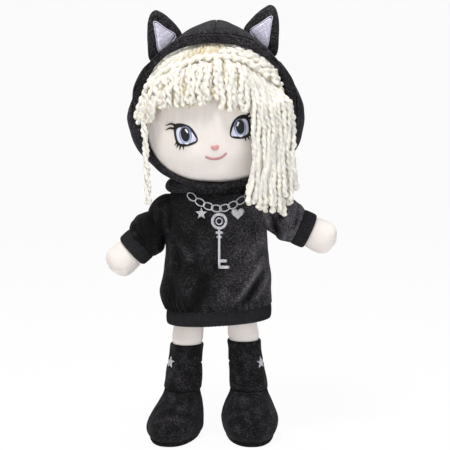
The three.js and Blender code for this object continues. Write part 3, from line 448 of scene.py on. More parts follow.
ROPES = (                # line, lift, thickness, tone
    ([(-80, 22), (-76, 28), (-69, 36), (-59, 44), (-50, 50), (-41, 54), (-34, 57.5)], 3.6, 1.25, 0.75),
    ([(-66, 21), (-49.6, 31.5), (-35, 38.5), (-19, 44), (-0.6, 47), (17.4, 46), (33, 41.6), (45, 35),
      (54, 27)], 5.2, 1.35, 0.9),
    ([(4, 50), (14, 51), (24, 50), (37, 46), (49, 39), (57, 30), (62, 20)], 5.0, 1.25, 0.8),
    ([(22, 59), (27, 55.5), (35, 51.5), (45, 47), (54, 40.5), (60, 33), (65.5, 24), (69, 17)],
     4.0, 1.3, 0.85),
)
LOCK_ROOTS = [(30, 43), (33.6, 41.4), (42, 38.2), (49.5, 34), (56.5, 29), (64, 24), (73, 17)]
LOCK_EDGES = [           # height, and the lock's inner and outer edge across from the head's middle
    (186, 22.5, 66), (204, 23.5, 66), (224, 26.5, 64.5), (244, 28, 63), (254, 28, 63.4), (273, 27.2, 61.5),
    (284, 25, 57), (292, 22.5, 52),
]
# tone is painted shade: the deeper layers darker
LOCK_LAYERS = ((12, 0.3, 0.0), (12, 0.65, 1.8), (10, 0.9, 3.6))     # strands, tone, how far it stands out
LOCK_TIPS = [10, 8, 4, 7, 3, 0, 10, 17]      # how far above its lowest end the lock is cut, inner edge first
LOCK_CHEEK_STRANDS = 9
LOCK_SPREAD = HEAD_HALF_WIDTH + 23
LOCK_DEPTH = HEAD_HALF_DEPTH - 0.2
LOCK_ROOT = HEAD[2] + 24
LOCK_END = box_mm("left_side_lock")[0][2]


def hairline(turn):
    """Degrees above level at which the hood's edge crosses the head, at a turn from the front."""
    return HAIRLINE_RISE * (1 - (np.abs(turn) / 84) ** 3.2)


def wander(t, size, rng):
    """A gentle sideways wave of three sines, up to about size, along a strand's parameter t from 0 to 1."""
    return size * sum(np.sin(waves * TAU * t + rng.uniform(0, TAU)) / waves for waves in (1.2, 2.7, 5.1))


def yarn_radius(t, radius, rng):
    """Radius along a strand: the yarn is thick and thin by turns, and frays a little wider at its cut end."""
    uneven = 1 + 0.07 * np.sin(TAU * (t * rng.uniform(4, 9) + rng.uniform(0, 1)))
    return radius * uneven * (1 + 0.22 * smooth(0.93, 1, t))


def yarn_strand(path, radius, rng, tone, lobes=0.3, out=None):
    """One two-ply strand along a path, from its sewn end to its cut end, and its tones.

    A point's tone falls in the grooves between the plies and near the sewn end, as painted shade where little
    light comes. out points away from what the strand lies on, which is the head if it isn't given.
    """
    out = unit(path - HEAD) if out is None else out
    count = max(12, int(np.linalg.norm(np.diff(path, axis=0), axis=1).sum() / YARN_STEP))
    share, t = np.linspace(0, 1, len(path)), np.linspace(0, 1, count)
    fine, outs = (xyz(*(np.interp(t, share, line[:, k]) for k in range(3))) for line in (path, out))
    pitch = YARN_PITCH * radius * rng.uniform(0.88, 1.12)
    phase = rng.uniform(0, TAU)
    strand = tube(fine, yarn_radius(t, radius, rng), unit(outs), YARN_SIDES, lobes, pitch, phase)
    along = np.append(0, np.cumsum(np.linalg.norm(np.diff(fine, axis=0), axis=1)))
    # painted shade: darker in the grooves between the plies and near the sewn end
    groove = 0.5 - 0.5 * np.cos(2 * (turns(YARN_SIDES)[None] - phase - TAU * along[:, None] / pitch))
    return strand, tone - 0.2 * groove - 0.2 * smooth(8, 0, along)[:, None]


def on_line(line, u):
    """The (turn, rise) at a share u along a line of points that are taken as evenly spaced."""
    at = np.linspace(0, 1, len(line))
    return np.array([np.interp(u, at, column) for column in np.transpose(line)])


def fringe_strands(radius):
    """Strands sewn along one line of the head that fall over the forehead to another, in three layers.

    Each strand leans a little towards the middle of its bunch, and one gap between bunches opens over the nose.
    """
    rng = np.random.default_rng(3)
    strands = []
    for layer, (count, stand, tone, ragged) in enumerate(FRINGE_LAYERS):
        for i in range(count):
            u = np.clip((i + 0.5 + rng.uniform(-0.25, 0.25)) / count, 0.005, 0.995)
            near = FRINGE_BUNCHES[np.argmin(np.abs(FRINGE_BUNCHES - u))]
            top = on_line(FRINGE_TOP, u) - [0, rng.uniform(-1.5, 1.0 + layer)]
            foot = on_line(FRINGE_END, u + (0.35 * (near - u) if layer else 0))
            parting = 9 * math.exp(-((u - PARTING) / 0.03) ** 2)
            foot = foot + [0, parting + rng.uniform(-0.5 * ragged, 0.9 * ragged)]
            t = np.linspace(0, 1, 60)
            way = mix(top[0], foot[0], t) + wander(t, 0.9 + 0.25 * layer, rng) * smooth(0, 0.4, t)
            arch = 2.2 * np.sin(np.minimum(1, t / 0.3) * math.pi / 2) + 0.8 * layer * np.sin(t * math.pi)
            lift = radius + 0.2 + stand + arch + wander(t, 0.5, rng)
            path = on_head(way, mix(top[1], foot[1], t), lift)
            strands.append(yarn_strand(
                path, radius * rng.uniform(0.9, 1.1), rng, tone + rng.uniform(-0.15, 0.15)))
    return strands


def tuft_strands(radius):
    """The short end of the fringe on the doll's right, which spills out over the hood's rim."""
    rng = np.random.default_rng(9)
    strands = []
    for i in range(11):
        u = (i + 0.5) / 11
        root = on_head(mix(-71, -55, u), mix(22, 17, u) + rng.uniform(-2, 2), radius + 1.5)
        tip = np.array([
            X0 + mix(-62, -47, u) + rng.uniform(-1.5, 1.5), Y0 + mix(-23, -37, u),
            HEAD[2] - 8 + rng.uniform(-4, 4)])
        belly = mix(root, tip, 0.5) + [-0.5, -4.0, 1.0]
        path = open_curve([root, belly, tip], 40)
        strands.append(yarn_strand(path, radius * rng.uniform(0.9, 1.08), rng, 0.75 + rng.uniform(-0.2, 0.2)))
    return strands


def crown_strands(radius):
    """The sewn rows under the hood's edge.

    Slanting strands come out from under the hood, with painted straw-coloured shade where they lie deep in the
    middle, and thick ropes run along the seams that the fringe and the side lock hang from.
    """
    rng = np.random.default_rng(5)
    strands = []
    for count, tone, lift in CROWN_LAYERS:
        for i in range(count):
            turn = mix(-73, 70, (i + rng.uniform(0.25, 0.75)) / count)
            t = np.linspace(0, 1, 26)
            high = float(hairline(turn))
            low = min(high - 4, float(np.interp(turn, *np.transpose(FRINGE_TOP))) - 2)
            slant = mix(13, -9, float(smooth(-5, 25, turn)))
            way = turn - slant * (t - 0.5) + wander(t, 0.7, rng)
            arch = lift + 1.6 * np.sin(t * math.pi) * rng.uniform(0.3, 1)
            path = on_head(way, mix(high + 4.0, low, t), arch)
            # painted shade: the strands in the middle stay darker, those towards the sides paler
            side = 0.55 * float(smooth(18, 50, abs(turn + 4)))
            strands.append(yarn_strand(
                path, radius * rng.uniform(0.85, 1.05), rng, tone + side + rng.uniform(-0.1, 0.15)))
    t = np.linspace(0, 1, 240)
    for line, lift, thick, tone in ROPES:
        turn, rise = open_curve(line, 240).T
        path = on_head(turn, rise + wander(t * 3, 0.6, rng), lift + wander(t * 4, 0.5, rng))
        strands.append(yarn_strand(path, radius * thick, rng, tone, 0.33))
    return strands


def lock_back(x, z):
    """y of the back of the side lock: on the head at its root, and hanging clear of the rim lower down."""
    girth = np.where(z > HEAD[2], head_girth(z - HEAD[2]), 1)
    across = (x - HEAD[0]) / LOCK_SPREAD
    hanging = HEAD[1] - LOCK_DEPTH * np.sqrt(np.maximum(0.05, girth ** 2 - across ** 2))
    edge = HEAD[0] + HEAD_HALF_WIDTH * 0.9 * girth
    root = head_front(np.minimum(x, edge), z) - 0.4
    return mix(hanging, root, smooth(LOCK_ROOT - 20, LOCK_ROOT, z))


def lock_strands(radius):
    """The wide lock on the doll's left: strands in three layers from the hairline to ragged ends.

    They gather in pairs and threes as they fall, and those nearest the hood are twisted the hardest. Behind
    them a few more hang down the side of the head.
    """
    rng = np.random.default_rng(7)
    strands = []
    heights, inner, outer = np.transpose(LOCK_EDGES)
    bunches = np.linspace(0.04, 0.96, 9) + rng.uniform(-0.03, 0.03, 9)
    t = np.linspace(0, 1, 130)
    for layer, (count, tone, stand) in enumerate(LOCK_LAYERS):
        for i in range(count):
            u = np.clip((i + 0.5 + rng.uniform(-0.28, 0.28)) / count, 0.01, 0.99)
            near = bunches[np.argmin(np.abs(bunches - u))]
            root = on_head(*(on_line(LOCK_ROOTS, u) + [0, rng.uniform(-1, 2)]), radius)
            cut = LOCK_TIPS[min(7, int(u * 8))]
            tip = LOCK_END + 1.5 + cut + rng.uniform(-1, 5) + (3 if layer == 2 else 0)
            z = mix(root[2], tip, t)
            near_x, far_x = np.interp(z, heights, inner) + radius, np.interp(z, heights, outer) - radius
            hang = HEAD[0] + mix(near_x, far_x, mix(u, near, 0.4 * smooth(0.2, 0.9, t)))
            x = mix(root[0], hang, smooth(0, 0.16, t)) + wander(t * 1.4, 1.1, rng) * smooth(0, 0.2, t)
            depth = radius * 0.9 + stand * smooth(0, 0.14, t)
            y = lock_back(x, z) - depth + wander(t * 1.4, 0.9, rng) * smooth(0, 0.1, t)
            strand, shades = yarn_strand(
                xyz(x, y, z), radius * rng.uniform(0.82, 1.06), rng, tone + rng.uniform(-0.15, 0.2),
                mix(0.2, 0.32, u), unit(xyz((x - HEAD[0]) / 60, -1.0, 0.0)))
            # painted shade: the upper half of each strand a little darker
            deep = 0.12 * smooth(0.5, 0.1, np.linspace(0, 1, len(shades)))[:, None]
            strands.append((strand, shades - deep))
    for i in range(LOCK_CHEEK_STRANDS):
        turn = mix(74, 58, (i + 0.5) / LOCK_CHEEK_STRANDS)
        cheek = on_head(turn, 2, radius + 1.4)
        sway = rng.uniform(-1, 1, (3, 3)) * [1, 1, 0]
        tip = LOCK_END + rng.uniform(16, 24)
        path = open_curve([
            on_head(turn + 2, 19, radius), on_head(turn, 10, radius + 0.8), cheek,
            cheek + [1.0, -2.5, -18] + sway[0], cheek + [1.5, -5, -38] + sway[1],
            (*(cheek + [1.0, -6.5, 0] + sway[2])[:2], tip)], 110)
        # tone about 0.45: painted shade, as these hang behind the lock
        strands.append(yarn_strand(
            path, radius * rng.uniform(0.9, 1.05), rng, 0.45 + rng.uniform(-0.15, 0.2)))
    return strands


def side_strand(radius):
    """The thin lock on the doll's right: two strands wound loosely round each other down one path."""
    rng = np.random.default_rng(11)
    hanging = [(-55.3, -27, -8), (-53.8, -30, -22), (-53.0, -32, -41), (-52.2, -33, -56)]
    tip = (HEAD[0] - 51.6, HEAD[1] - 33, box_mm("right_side_strand")[0][2] + 1)
    path = open_curve([on_head(-62, 22, 5.0), on_head(-67, 10, 7.0), *(HEAD + hanging), tip], 150)
    strands = []
    for ply in range(2):
        angle = TAU * (3.5 * np.linspace(0, 1, 150) + ply / 2)
        offset = xyz(np.cos(angle), np.sin(angle), 0.0) * radius * 0.62
        out = np.broadcast_to([0.0, -1.0, 0.0], (150, 3))
        strands.append(yarn_strand(path + offset, radius * 0.82, rng, 0.75 + 0.15 * ply, 0.3, out))
    return strands


# Hood

hood_low, hood_high = box_mm("hood_left", "hood_right")
RIM_WIDTH = 7.6
RIM_WIDTH_UNDER_CHIN = 4
RIM_PINCH = 3           # how much narrower the rim is where it turns from the top to the sides
RIM_THICKNESS = 4
HOOD_HALF_WIDTH = (hood_high[0] - hood_low[0]) / 2
HOOD_X = (hood_high[0] + hood_low[0]) / 2
_, HOOD_BACK, HOOD_TOP = hood_high
HOOD_CENTRE_Z = HEAD[2] - 9
HOOD_BOTTOM = HEAD_BOTTOM - 4
HOOD_GIRTH_Y = Y0 + 8
OPENING_HALF_WIDTH = HEAD_HALF_WIDTH + 3
OPENING_TOP = HEAD_TOP - 6.7
OPENING_BOTTOM = HEAD_BOTTOM + 2
OPENING_MIDDLE = HEAD[2] - 4
NECK_HALF_WIDTH, NECK_FRONT, NECK_BACK = 32.3, 24.0, 20.0
HOOD_WALL, NECK_WALL, DRESS_WALL, SLEEVE_WALL = 1.8, 1.6, 1.4, 1.3      # thickness of the cloth


def opening_edge(angle, grow):
    """The hood's opening: a superellipse, deeper forward at its top and bottom than at its sides."""
    up = np.sin(angle) > 0
    high = oval(angle, 2.35)
    low = oval(angle, 2.2)
    c, s = np.where(up, high[0], low[0]), np.where(up, high[1], low[1])
    height = np.where(up, OPENING_TOP - OPENING_MIDDLE, OPENING_MIDDLE - OPENING_BOTTOM) + grow
    forward = mix(7, np.where(up, 33, 28), np.abs(np.sin(angle)) ** 1.7)
    x = HEAD[0] + (OPENING_HALF_WIDTH + grow) * c
    return xyz(x, HEAD[1] - forward, OPENING_MIDDLE + height * s)


def rim_width(angle):
    """The rim is narrower under the chin, and a little where it turns down from the top."""
    pinch = RIM_PINCH * np.exp(-((np.sin(angle) - 0.6) / 0.3) ** 2)
    return mix(RIM_WIDTH, RIM_WIDTH_UNDER_CHIN, smooth(0.2, -0.9, np.sin(angle))) - pinch


def girth_edge(angle):
    """The hood's widest outline: a superellipse that rises to a low peak."""
    up = np.sin(angle) > 0
    high, low = oval(angle, 1.57), oval(angle, 2)
    c, s = np.where(up, high[0], low[0]), np.where(up, high[1], low[1])
    height = np.where(up, HOOD_TOP - HOOD_CENTRE_Z, HOOD_CENTRE_Z - HOOD_BOTTOM)
    y = np.full(np.shape(c), HOOD_GIRTH_Y)
    return xyz(HOOD_X + HOOD_HALF_WIDTH * c, y, HOOD_CENTRE_Z + height * s)


def hood_surface(angle, t):
    """The hood's cloth: quarter waves from the opening to its girth (t 0 to 1), then to the back (1 to 2)."""
    start, edge = opening_edge(angle, rim_width(angle) + 0.3), girth_edge(angle)
    a = np.clip(t, 0, 1) * math.pi / 2
    b = np.clip(t - 1, 0, 1) * math.pi / 2
    front = mix(start, edge, xyz(np.sin(a), 1 - np.cos(a), np.sin(a)))
    back = xyz(
        mix(HOOD_X, edge[..., 0], np.cos(b)), mix(HOOD_GIRTH_Y, HOOD_BACK, np.sin(b)),
        mix(HOOD_CENTRE_Z + 8, edge[..., 2], np.cos(b)))
    points = np.where((t > 1)[..., None], back, front)
    middle = np.array([X0, Y0, HOOD_CENTRE_Z])
    low = smooth(HOOD_CENTRE_Z - 12, HOOD_BOTTOM + 6, points[..., 2])
    folds = 1.1 * np.sin(11 * angle + 1.3 * np.sin(3 * t)) * low + 0.5 * lumps(points, 38, 21)
    dents = 0.5 * lumps(points, 19, 22) * smooth(0.15, 0.5, t)
    seam = 0.4 * np.exp(-((points[..., 0] - seam_x(t)) / 1.6) ** 2)
    return points + unit(points - middle) * (folds + dents - seam)[..., None]


def seam_x(t):
    """x of the hood's centre seam: the head's middle at the opening, and the hood's own further back."""
    return mix(HEAD[0], HOOD_X, np.sin(np.clip(t, 0, 1) * math.pi / 2))


def in_neck(points):
    """True inside the column of the neck, under the head."""
    x, y = points[:, 0] - X0, points[:, 1] - Y0
    depth = np.where(y < 0, NECK_FRONT, NECK_BACK)
    return ((x / NECK_HALF_WIDTH) ** 2 + (y / depth) ** 2 < 1) & (points[:, 2] < HEAD_BOTTOM + 14)


def hood_half(side):
    """Half of the hood, from the centre seam at the top round the side to the centre seam below."""
    angle = np.linspace(-math.pi / 2, math.pi / 2, 92)
    angle = angle if side > 0 else math.pi - angle
    t = np.concatenate([np.linspace(0, 1, 26), np.linspace(1, 1.985, 34)[1:]])
    points = hood_surface(angle[None] + 0 * t[:, None], t[:, None] + 0 * angle[None])
    edge = seam_x(t)[:, None] + side * 0.15
    points[..., 0] = np.where(side * (points[..., 0] - edge) < 0, edge, points[..., 0])
    return points


def rim_band():
    """The folded rim: a superellipse section carried round the opening, with a stitched groove at its back."""
    angle = turns(300)[:, None]
    around = turns(44)[None]
    c, s = oval(around, 2.6)
    width = rim_width(angle)
    wave = 0.35 * np.sin(9 * angle) + 0.25 * np.sin(23 * angle + 1)
    groove = 0.75 * np.exp(-((c - 0.45) / 0.12) ** 2) * (s < 0)
    points = opening_edge(angle + 0 * around, width / 2 * (1 + c) + 0.25 * wave)
    points[..., 1] += RIM_THICKNESS / 2 * s + groove + 0.3 * wave
    return np.concatenate([points, points[:1]])


# Ears: across and up from the middle, for the doll's left; the foot first, then the outer edge and the tip
EAR_OUTLINE = [
    (-19, -2), (6, -21), (8.6, -6), (8.9, 3), (8.2, 9.5), (5.4, 16.6), (1.6, 18.9), (-2.8, 16.8), (-12, 9.2),
]
EAR_PANEL = [
    (-13, -1.2), (-11, -5.0), (-4.5, -12.4), (-1.8, -13.6), (-0.4, -11.5), (1.0, -2.5), (2.2, 5.0),
    (2.6, 8.8), (0.9, 8.6), (-5.2, 4.4),
]
EAR_THICKNESS = 9
EAR_REACH, EAR_RISE = 9.0, 20.9         # from the pillow's middle to the outer side and the top of its box
EAR_EDGE = closed_curve(EAR_OUTLINE, 96)


def ear_place(side):
    """The middle of an ear's pillow, from its node's box."""
    low, high = box_mm(f"{side}_ear")
    outer = high[0] - EAR_REACH if side == "left" else low[0] + EAR_REACH
    return np.array([outer, HEAD[1], high[2] - EAR_RISE])


def ear_dome(share):
    """Half the ear's thickness at a share of its size: a superellipse from its middle out to its edge."""
    return EAR_THICKNESS / 2 * np.sqrt(np.maximum(0, 1 - share ** 2.5))


def ear_skin(side):
    """The stuffed ear: its outline in growing shares over the front, then in shrinking ones over the back."""
    share = np.append(np.linspace(0.04, 0.995, 16), np.linspace(1.0, 0.04, 16))[:, None]
    face = np.repeat([-1, 1], 16)[:, None]
    points = xyz(SIGN[side] * EAR_EDGE[:, 0] * share, face * ear_dome(share), EAR_EDGE[:, 1] * share)
    return points + ear_place(side) + 0.25 * lumps(points, 12, 23)[..., None]


def on_ear(side):
    """A place function for patches on the front of an ear, across and up from its middle and raised by lift.

    The share of the ear's size is the distance from the middle over the outline's distance that way.
    """
    ways = np.arctan2(EAR_EDGE[:, 1], EAR_EDGE[:, 0])
    order = np.argsort(ways)
    reach = np.linalg.norm(EAR_EDGE, axis=1)[order]

    def at(across, up, lift):
        share = np.hypot(across, up) / np.interp(np.arctan2(up, across), ways[order], reach, period=TAU)
        return ear_place(side) + xyz(SIGN[side] * across, -ear_dome(np.minimum(1, share)) - lift - 0.2, up)
    return at


# Dress

# Share of the height above the hem seam, half-width, middle, front depth, back depth
DRESS_STATIONS = [
    (0.00, 42.5, 3.0, 30.0, 28.0), (0.06, 44.4, 1.2, 32.2, 29.4), (0.15, 45.0, 0.1, 33.0, 30.0),
    (0.30, 42.6, 1.6, 33.0, 30.0), (0.50, 41.0, 1.2, 32.5, 28.8), (0.80, 41.0, 1.0, 31.0, 26.5),
    (0.91, 39.5, 1.0, 29.0, 24.5), (1.00, 34.5, 0.0, 26.2, 22.2),
]
DRESS_FULLNESS = 2.25
SKIRT_LENGTH = DRESS_TOP - HEM_TOP
SKIRT_HALF_WIDTH = 45
HEM_MIDDLE = np.array([X0 + 3, Y0, 0])
HEM_HALF_WIDTH, HEM_FRONT, HEM_BACK = 41.5, 30.0, 28.0
HEM_GIRTH = 228
HEM_TILT = 2.6          # how much higher the hem hangs at the doll's left than in its middle

# Each fold's ends, as shares of the half-width across and of the skirt's length up; height, width and lean.
FRONT_FOLDS = [
    ((0.90, 0.50), (0.30, 0.06), 4.2, 3.3, 0.45), ((0.94, 0.38), (0.66, 0.07), 3.0, 2.5, 0.3),
    ((0.84, 0.36), (0.46, 0.04), -2.6, 4.0, 0.0), ((0.86, 0.70), (0.56, 0.42), 2.2, 4.5, 0.2),
    ((0.30, 0.40), (0.04, 0.05), 2.4, 6.0, -0.2), ((0.06, 0.44), (-0.16, 0.30), -1.4, 4.5, 0.0),
    ((-0.16, 0.36), (-0.38, 0.02), -2.8, 4.2, 0.0), ((-0.62, 0.42), (-0.50, 0.05), 2.4, 5.0, 0.2),
    ((-0.66, 0.60), (-0.42, 0.42), 2.8, 2.6, 0.4), ((-0.80, 0.62), (-0.74, 0.38), 2.4, 2.3, 0.3),
    ((-0.74, 0.58), (-0.60, 0.34), -1.8, 2.6, 0.0), ((-0.94, 0.46), (-0.92, 0.12), 2.4, 4.5, 0.0),
    ((-0.84, 0.34), (-0.72, 0.06), -1.8, 3.4, 0.0), ((-0.56, 0.80), (-0.46, 0.58), 1.3, 3.2, 0.0),
    ((0.66, 0.62), (0.78, 0.40), -1.5, 3.2, 0.0),
]
BACK_FOLDS = [
    ((-0.80, 0.72), (-0.30, 0.06), 2.8, 4.6, 0.4), ((0.78, 0.70), (0.40, 0.06), 2.6, 4.6, -0.4),
    ((0.10, 0.66), (0.02, 0.05), 1.8, 6.0, 0.0), ((-0.36, 0.60), (-0.60, 0.08), -2.0, 4.6, 0.0),
    ((0.62, 0.50), (0.70, 0.06), 2.0, 3.6, 0.3), ((0.24, 0.58), (0.20, 0.05), -1.8, 4.0, 0.0),
    ((-0.90, 0.50), (-0.84, 0.10), 1.8, 3.6, 0.0),
]


def hem_lift(x, z):
    """How much the lower skirt is pulled up towards the doll's left: in proportion to x, fading out above."""
    return HEM_TILT * (x - X0) / SKIRT_HALF_WIDTH * smooth(HEM_TOP + 55, HEM_TOP, z)


def fold_height(x, z, folds):
    """How far the folds stand out: each is a bell across its line, steeper on one side by its lean."""
    total = np.zeros(np.broadcast(x, z).shape)
    for top, foot, height, width, lean in folds:
        ax, az = X0 + top[0] * SKIRT_HALF_WIDTH, HEM_TOP + top[1] * SKIRT_LENGTH
        bx, bz = X0 + foot[0] * SKIRT_HALF_WIDTH, HEM_TOP + foot[1] * SKIRT_LENGTH
        dx, dz = bx - ax, bz - az
        length = math.hypot(dx, dz)
        t = ((x - ax) * dx + (z - az) * dz) / length ** 2
        off = ((x - ax) * dz - (z - az) * dx) / length + 1.5 * np.sin(t * math.pi)
        spread = width * np.where(off > 0, 1 - lean, 1 + lean)
        total += height * np.exp(-((off / spread) ** 2)) * smooth(-0.05, 0.35, t) * smooth(1.2, 0.8, t)
    return total * smooth(HEM_TOP + 1, HEM_TOP + 9, z)


def dress_at(z):
    """Half-width, middle and depths of the dress at a height."""
    half, middle, front, back = stations(DRESS_STATIONS, (z - HEM_TOP) / SKIRT_LENGTH)
    return half, X0 + middle, front, back


def dress_gathers(angle, z):
    """Small puckers where the cloth is gathered onto the hem band and into the neck."""
    near_hem = smooth(HEM_TOP + 15, HEM_TOP + 2, z)
    near_neck = smooth(DRESS_TOP - 13, DRESS_TOP - 1, z)
    return 0.55 * np.sin(41 * angle + 2 * np.sin(5 * angle)) * near_hem + 0.3 * np.sin(37 * angle) * near_neck


def dress_surface(angle, z):
    """The dress: a superellipse at each height, pushed out by folds, gathers and soft unevenness."""
    half, middle, front, back = dress_at(z)
    c, s = oval(angle, DRESS_FULLNESS)
    x = middle + half * c
    flat = xyz(x, np.where(s < 0, front, back) * s, z)
    front_folds = fold_height(x, z, FRONT_FOLDS) * smooth(0, -0.5, s)
    back_folds = fold_height(x, z, BACK_FOLDS) * smooth(0, 0.5, s)
    push = front_folds + back_folds + dress_gathers(angle, z) + 0.7 * lumps(flat, 22, 31)
    push = push * smooth(DRESS_TOP + 6, DRESS_TOP - 22, z)
    seam = 0.7 * np.exp(-((np.abs(s) * back) / 1.6) ** 2)
    way = unit(xyz(c * 0.6, np.sign(s) * np.abs(s) ** 0.5, 0 * z))
    points = flat + way * (push - seam)[..., None]
    points[..., 1] += Y0
    points[..., 2] += hem_lift(points[..., 0], points[..., 2])
    return points, painted_fold_light(push, points)


def painted_fold_light(push, points):
    """Tone of the velvet, from 0 to 1: a painted highlight on the crest of a fold and painted shade in its
    valley, painted light a little paler towards the doll's left, and some random unevenness."""
    crest, valley = np.maximum(push, 0), np.minimum(push, 0)
    # painted light: paler towards the doll's left
    slope = 0.0075 * (points[..., 0] - X0)
    return np.clip(0.38 + 0.038 * crest + 0.016 * crest ** 2 + 0.17 * valley + slope
                   + 0.09 * lumps(points, 24, 35), 0, 1)


def dress_front(x, z):
    """y of the outside of the dress front at x, z, without its finest puckers."""
    half, middle, front, _ = dress_at(z)
    across = np.minimum(1, np.abs((x - middle) / half))
    s = (1 - across ** DRESS_FULLNESS) ** (1 / DRESS_FULLNESS)
    push = fold_height(x, z, FRONT_FOLDS) * smooth(0, -0.5, -s)
    flat = xyz(x, -front * s, z)
    push = (push + 0.7 * lumps(flat, 22, 31)) * smooth(DRESS_TOP + 6, DRESS_TOP - 22, z)
    return Y0 - front * s - push


SHOULDERS = {side: pivot(f"{side}_shoulder") for side in SIGN}
ARMHOLE = 34.8          # from the middle of the dress to the seam of the sleeve
ARMHOLE_RADIUS = 12.2


def in_armhole(points):
    """True where the arm passes through the dress under a sleeve: near the arm's axis, beyond the seam."""
    inside = np.zeros(len(points), bool)
    for side in SHOULDERS:
        shoulder, along, _ = arm_axes(side)
        reach = np.clip((points - shoulder) @ along, 0, SLEEVE_LENGTH)
        near = np.linalg.norm(points - shoulder - reach[:, None] * along, axis=1) < ARMHOLE_RADIUS
        outboard = (points[:, 0] - X0) * np.sign(shoulder[0] - X0) > ARMHOLE + 1.5
        inside |= near & outboard
    return inside


def dress_panel(front):
    """The front or back panel, from side seam to side seam and from inside the hem to the neckline."""
    angle = np.linspace(math.pi, TAU, 210) if front else np.linspace(0, math.pi, 210)
    z = np.linspace(HEM_TOP + 0.3, DRESS_TOP, 96)
    points, tones = dress_surface(*np.meshgrid(angle, z))
    points[..., 1] = (np.minimum if front else np.maximum)(points[..., 1], Y0)
    tuck = HEM_MIDDLE + (points[:1] - HEM_MIDDLE) * [0.95, 0.95, 1] - [0, 0, 1.4]
    return np.concatenate([tuck, points]), np.concatenate([tones[:1], tones])


def hem_ribs(angle, z, inset, rib):
    """The ribbed hem band: a superellipse whose radius rises and falls once for each rib."""
    c, s = oval(angle, DRESS_FULLNESS)
    depth = np.where(s < 0, HEM_FRONT, HEM_BACK) - inset
    points = HEM_MIDDLE + xyz((HEM_HALF_WIDTH - inset) * c, depth * s, z)
    out = unit((points - HEM_MIDDLE) * [1, 1, 0])
    points = points + out * (rib + 0.5 * lumps(points, 20, 33))[..., None]
    points[..., 2] += hem_lift(points[..., 0], HEM_TOP)
    return points


def hem_band(rib_spacing):
    """The hem band as a closed loop: down its outside, under and up its inside."""
    ribs = int(HEM_GIRTH / rib_spacing)
    angle = turns(6 * ribs)[None]
    share = np.linspace(0, 1, 14)[:, None]
    belly = 0.5 * np.sin(share * math.pi) - 0.7 * (2 * share - 1) ** 8
    outside = hem_ribs(angle, mix(HEM_TOP, HEM_BOTTOM, share), 0.2 - belly, 0.45 * np.cos(angle * ribs))
    inside = hem_ribs(angle, mix(HEM_TOP, HEM_BOTTOM, np.array([[1], [0.5], [0]])), 1.5, 0)
    return np.concatenate([outside, inside, outside[:1]])


def neck_band():
    """Cloth gathered between the dress and the hood: a tube with pleats and, at the doll's right, a roll."""
    angle = turns(220)[None]
    share = np.linspace(0, 1, 14)[:, None]
    swell = np.maximum(0, np.sin(share * math.pi))
    depth = np.where(np.sin(angle) < 0, NECK_FRONT, NECK_BACK)
    pleat = 0.5 * np.sin(24 * angle + 2 * np.sin(3 * angle)) * swell
    roll = np.exp(-((angle - math.pi - 0.35) / 0.55) ** 2) * swell ** 0.7
    belly = 2.0 - 1.2 * swell + pleat + 7.5 * roll
    z = mix(DRESS_TOP - 0.5, HEAD_BOTTOM + 3.2, share) - 3.0 * roll * (1 - share)
    return xyz(X0 + (NECK_HALF_WIDTH + belly) * np.cos(angle), Y0 + (depth + belly) * np.sin(angle), z)


# Arms

def arm_axes(side):
    """The shoulder, and the directions along the arm and upwards across it, from the cuff's place."""
    shoulder = SHOULDERS[side]
    low, high = box_mm(f"{side}_cuff")
    along = unit(((low + high) / 2 - shoulder) * [1, 0, 1])
    return shoulder, along, np.array([-along[2], 0, along[0]]) * SIGN[side]


def on_arm(side, t, r, angle):
    """A point t along the arm's axis and r out from it, at an angle from its upper side towards the back."""
    shoulder, along, upwards = arm_axes(side)
    return shoulder + xyz(t, r * np.cos(angle), r * np.sin(angle)) @ [along, upwards, [0, 1, 0]]


def arm_out(side, points):
    """Straight out from the arm's axis at each point."""
    shoulder, along, _ = arm_axes(side)
    return unit(points - (shoulder + ((points - shoulder) @ along)[..., None] * along))


SLEEVE_ROOT = 18.5      # radius of the ball over the shoulder
SLEEVE_TURN = 10        # from the shoulder along the arm to where the ball ends
SLEEVE_LENGTH = 30
SLEEVE_TUCK = 3.5       # how much flatter the sleeve's root is under the arm
# Each fold's ends, along the arm and up across it; its height and width. They hang down across the sleeve.
SLEEVE_FOLDS = [
    ((-7.3, 11.0), (9.9, -10.2), 1.8, 2.6), ((2.3, 8.0), (15.6, -10.9), -2.0, 2.2),
    ((-3.0, 15.1), (13.8, -3.5), 1.6, 2.4), ((6.4, 13.0), (13.5, 0.0), -1.8, 2.2),
    ((18.6, 16.5), (24.4, 4.0), 1.9, 2.4), ((13.0, 15.0), (19.5, 2.0), 1.2, 2.2),
    ((25.0, 16.2), (29.5, 4.0), 1.6, 2.0), ((21.8, 15.0), (26.5, 0.0), -1.5, 1.8),
    ((18.0, -4.0), (24.0, -14.0), 1.3, 2.2), ((12.5, -6.0), (18.5, -15.0), -1.3, 2.0),
]
CUFF_LENGTH = 11.4
CUFF_RADIUS = 14.2
CUFF_INSIDE = 12.35
ARM_ROWS = [            # distance along the arm from the shoulder, and radius
    (-10.4, 1.0), (-9, 5.2), (-5, 8.2), (0, 8.8), (7, 6.9), (21, 6.9), (31, 11.4), (41.4, 12), (45, 12.6),
    (50, 13.3), (55, 13.3), (59, 11.6), (61.6, 8.6), (63.2, 4.2), (63.6, 1.0),
]


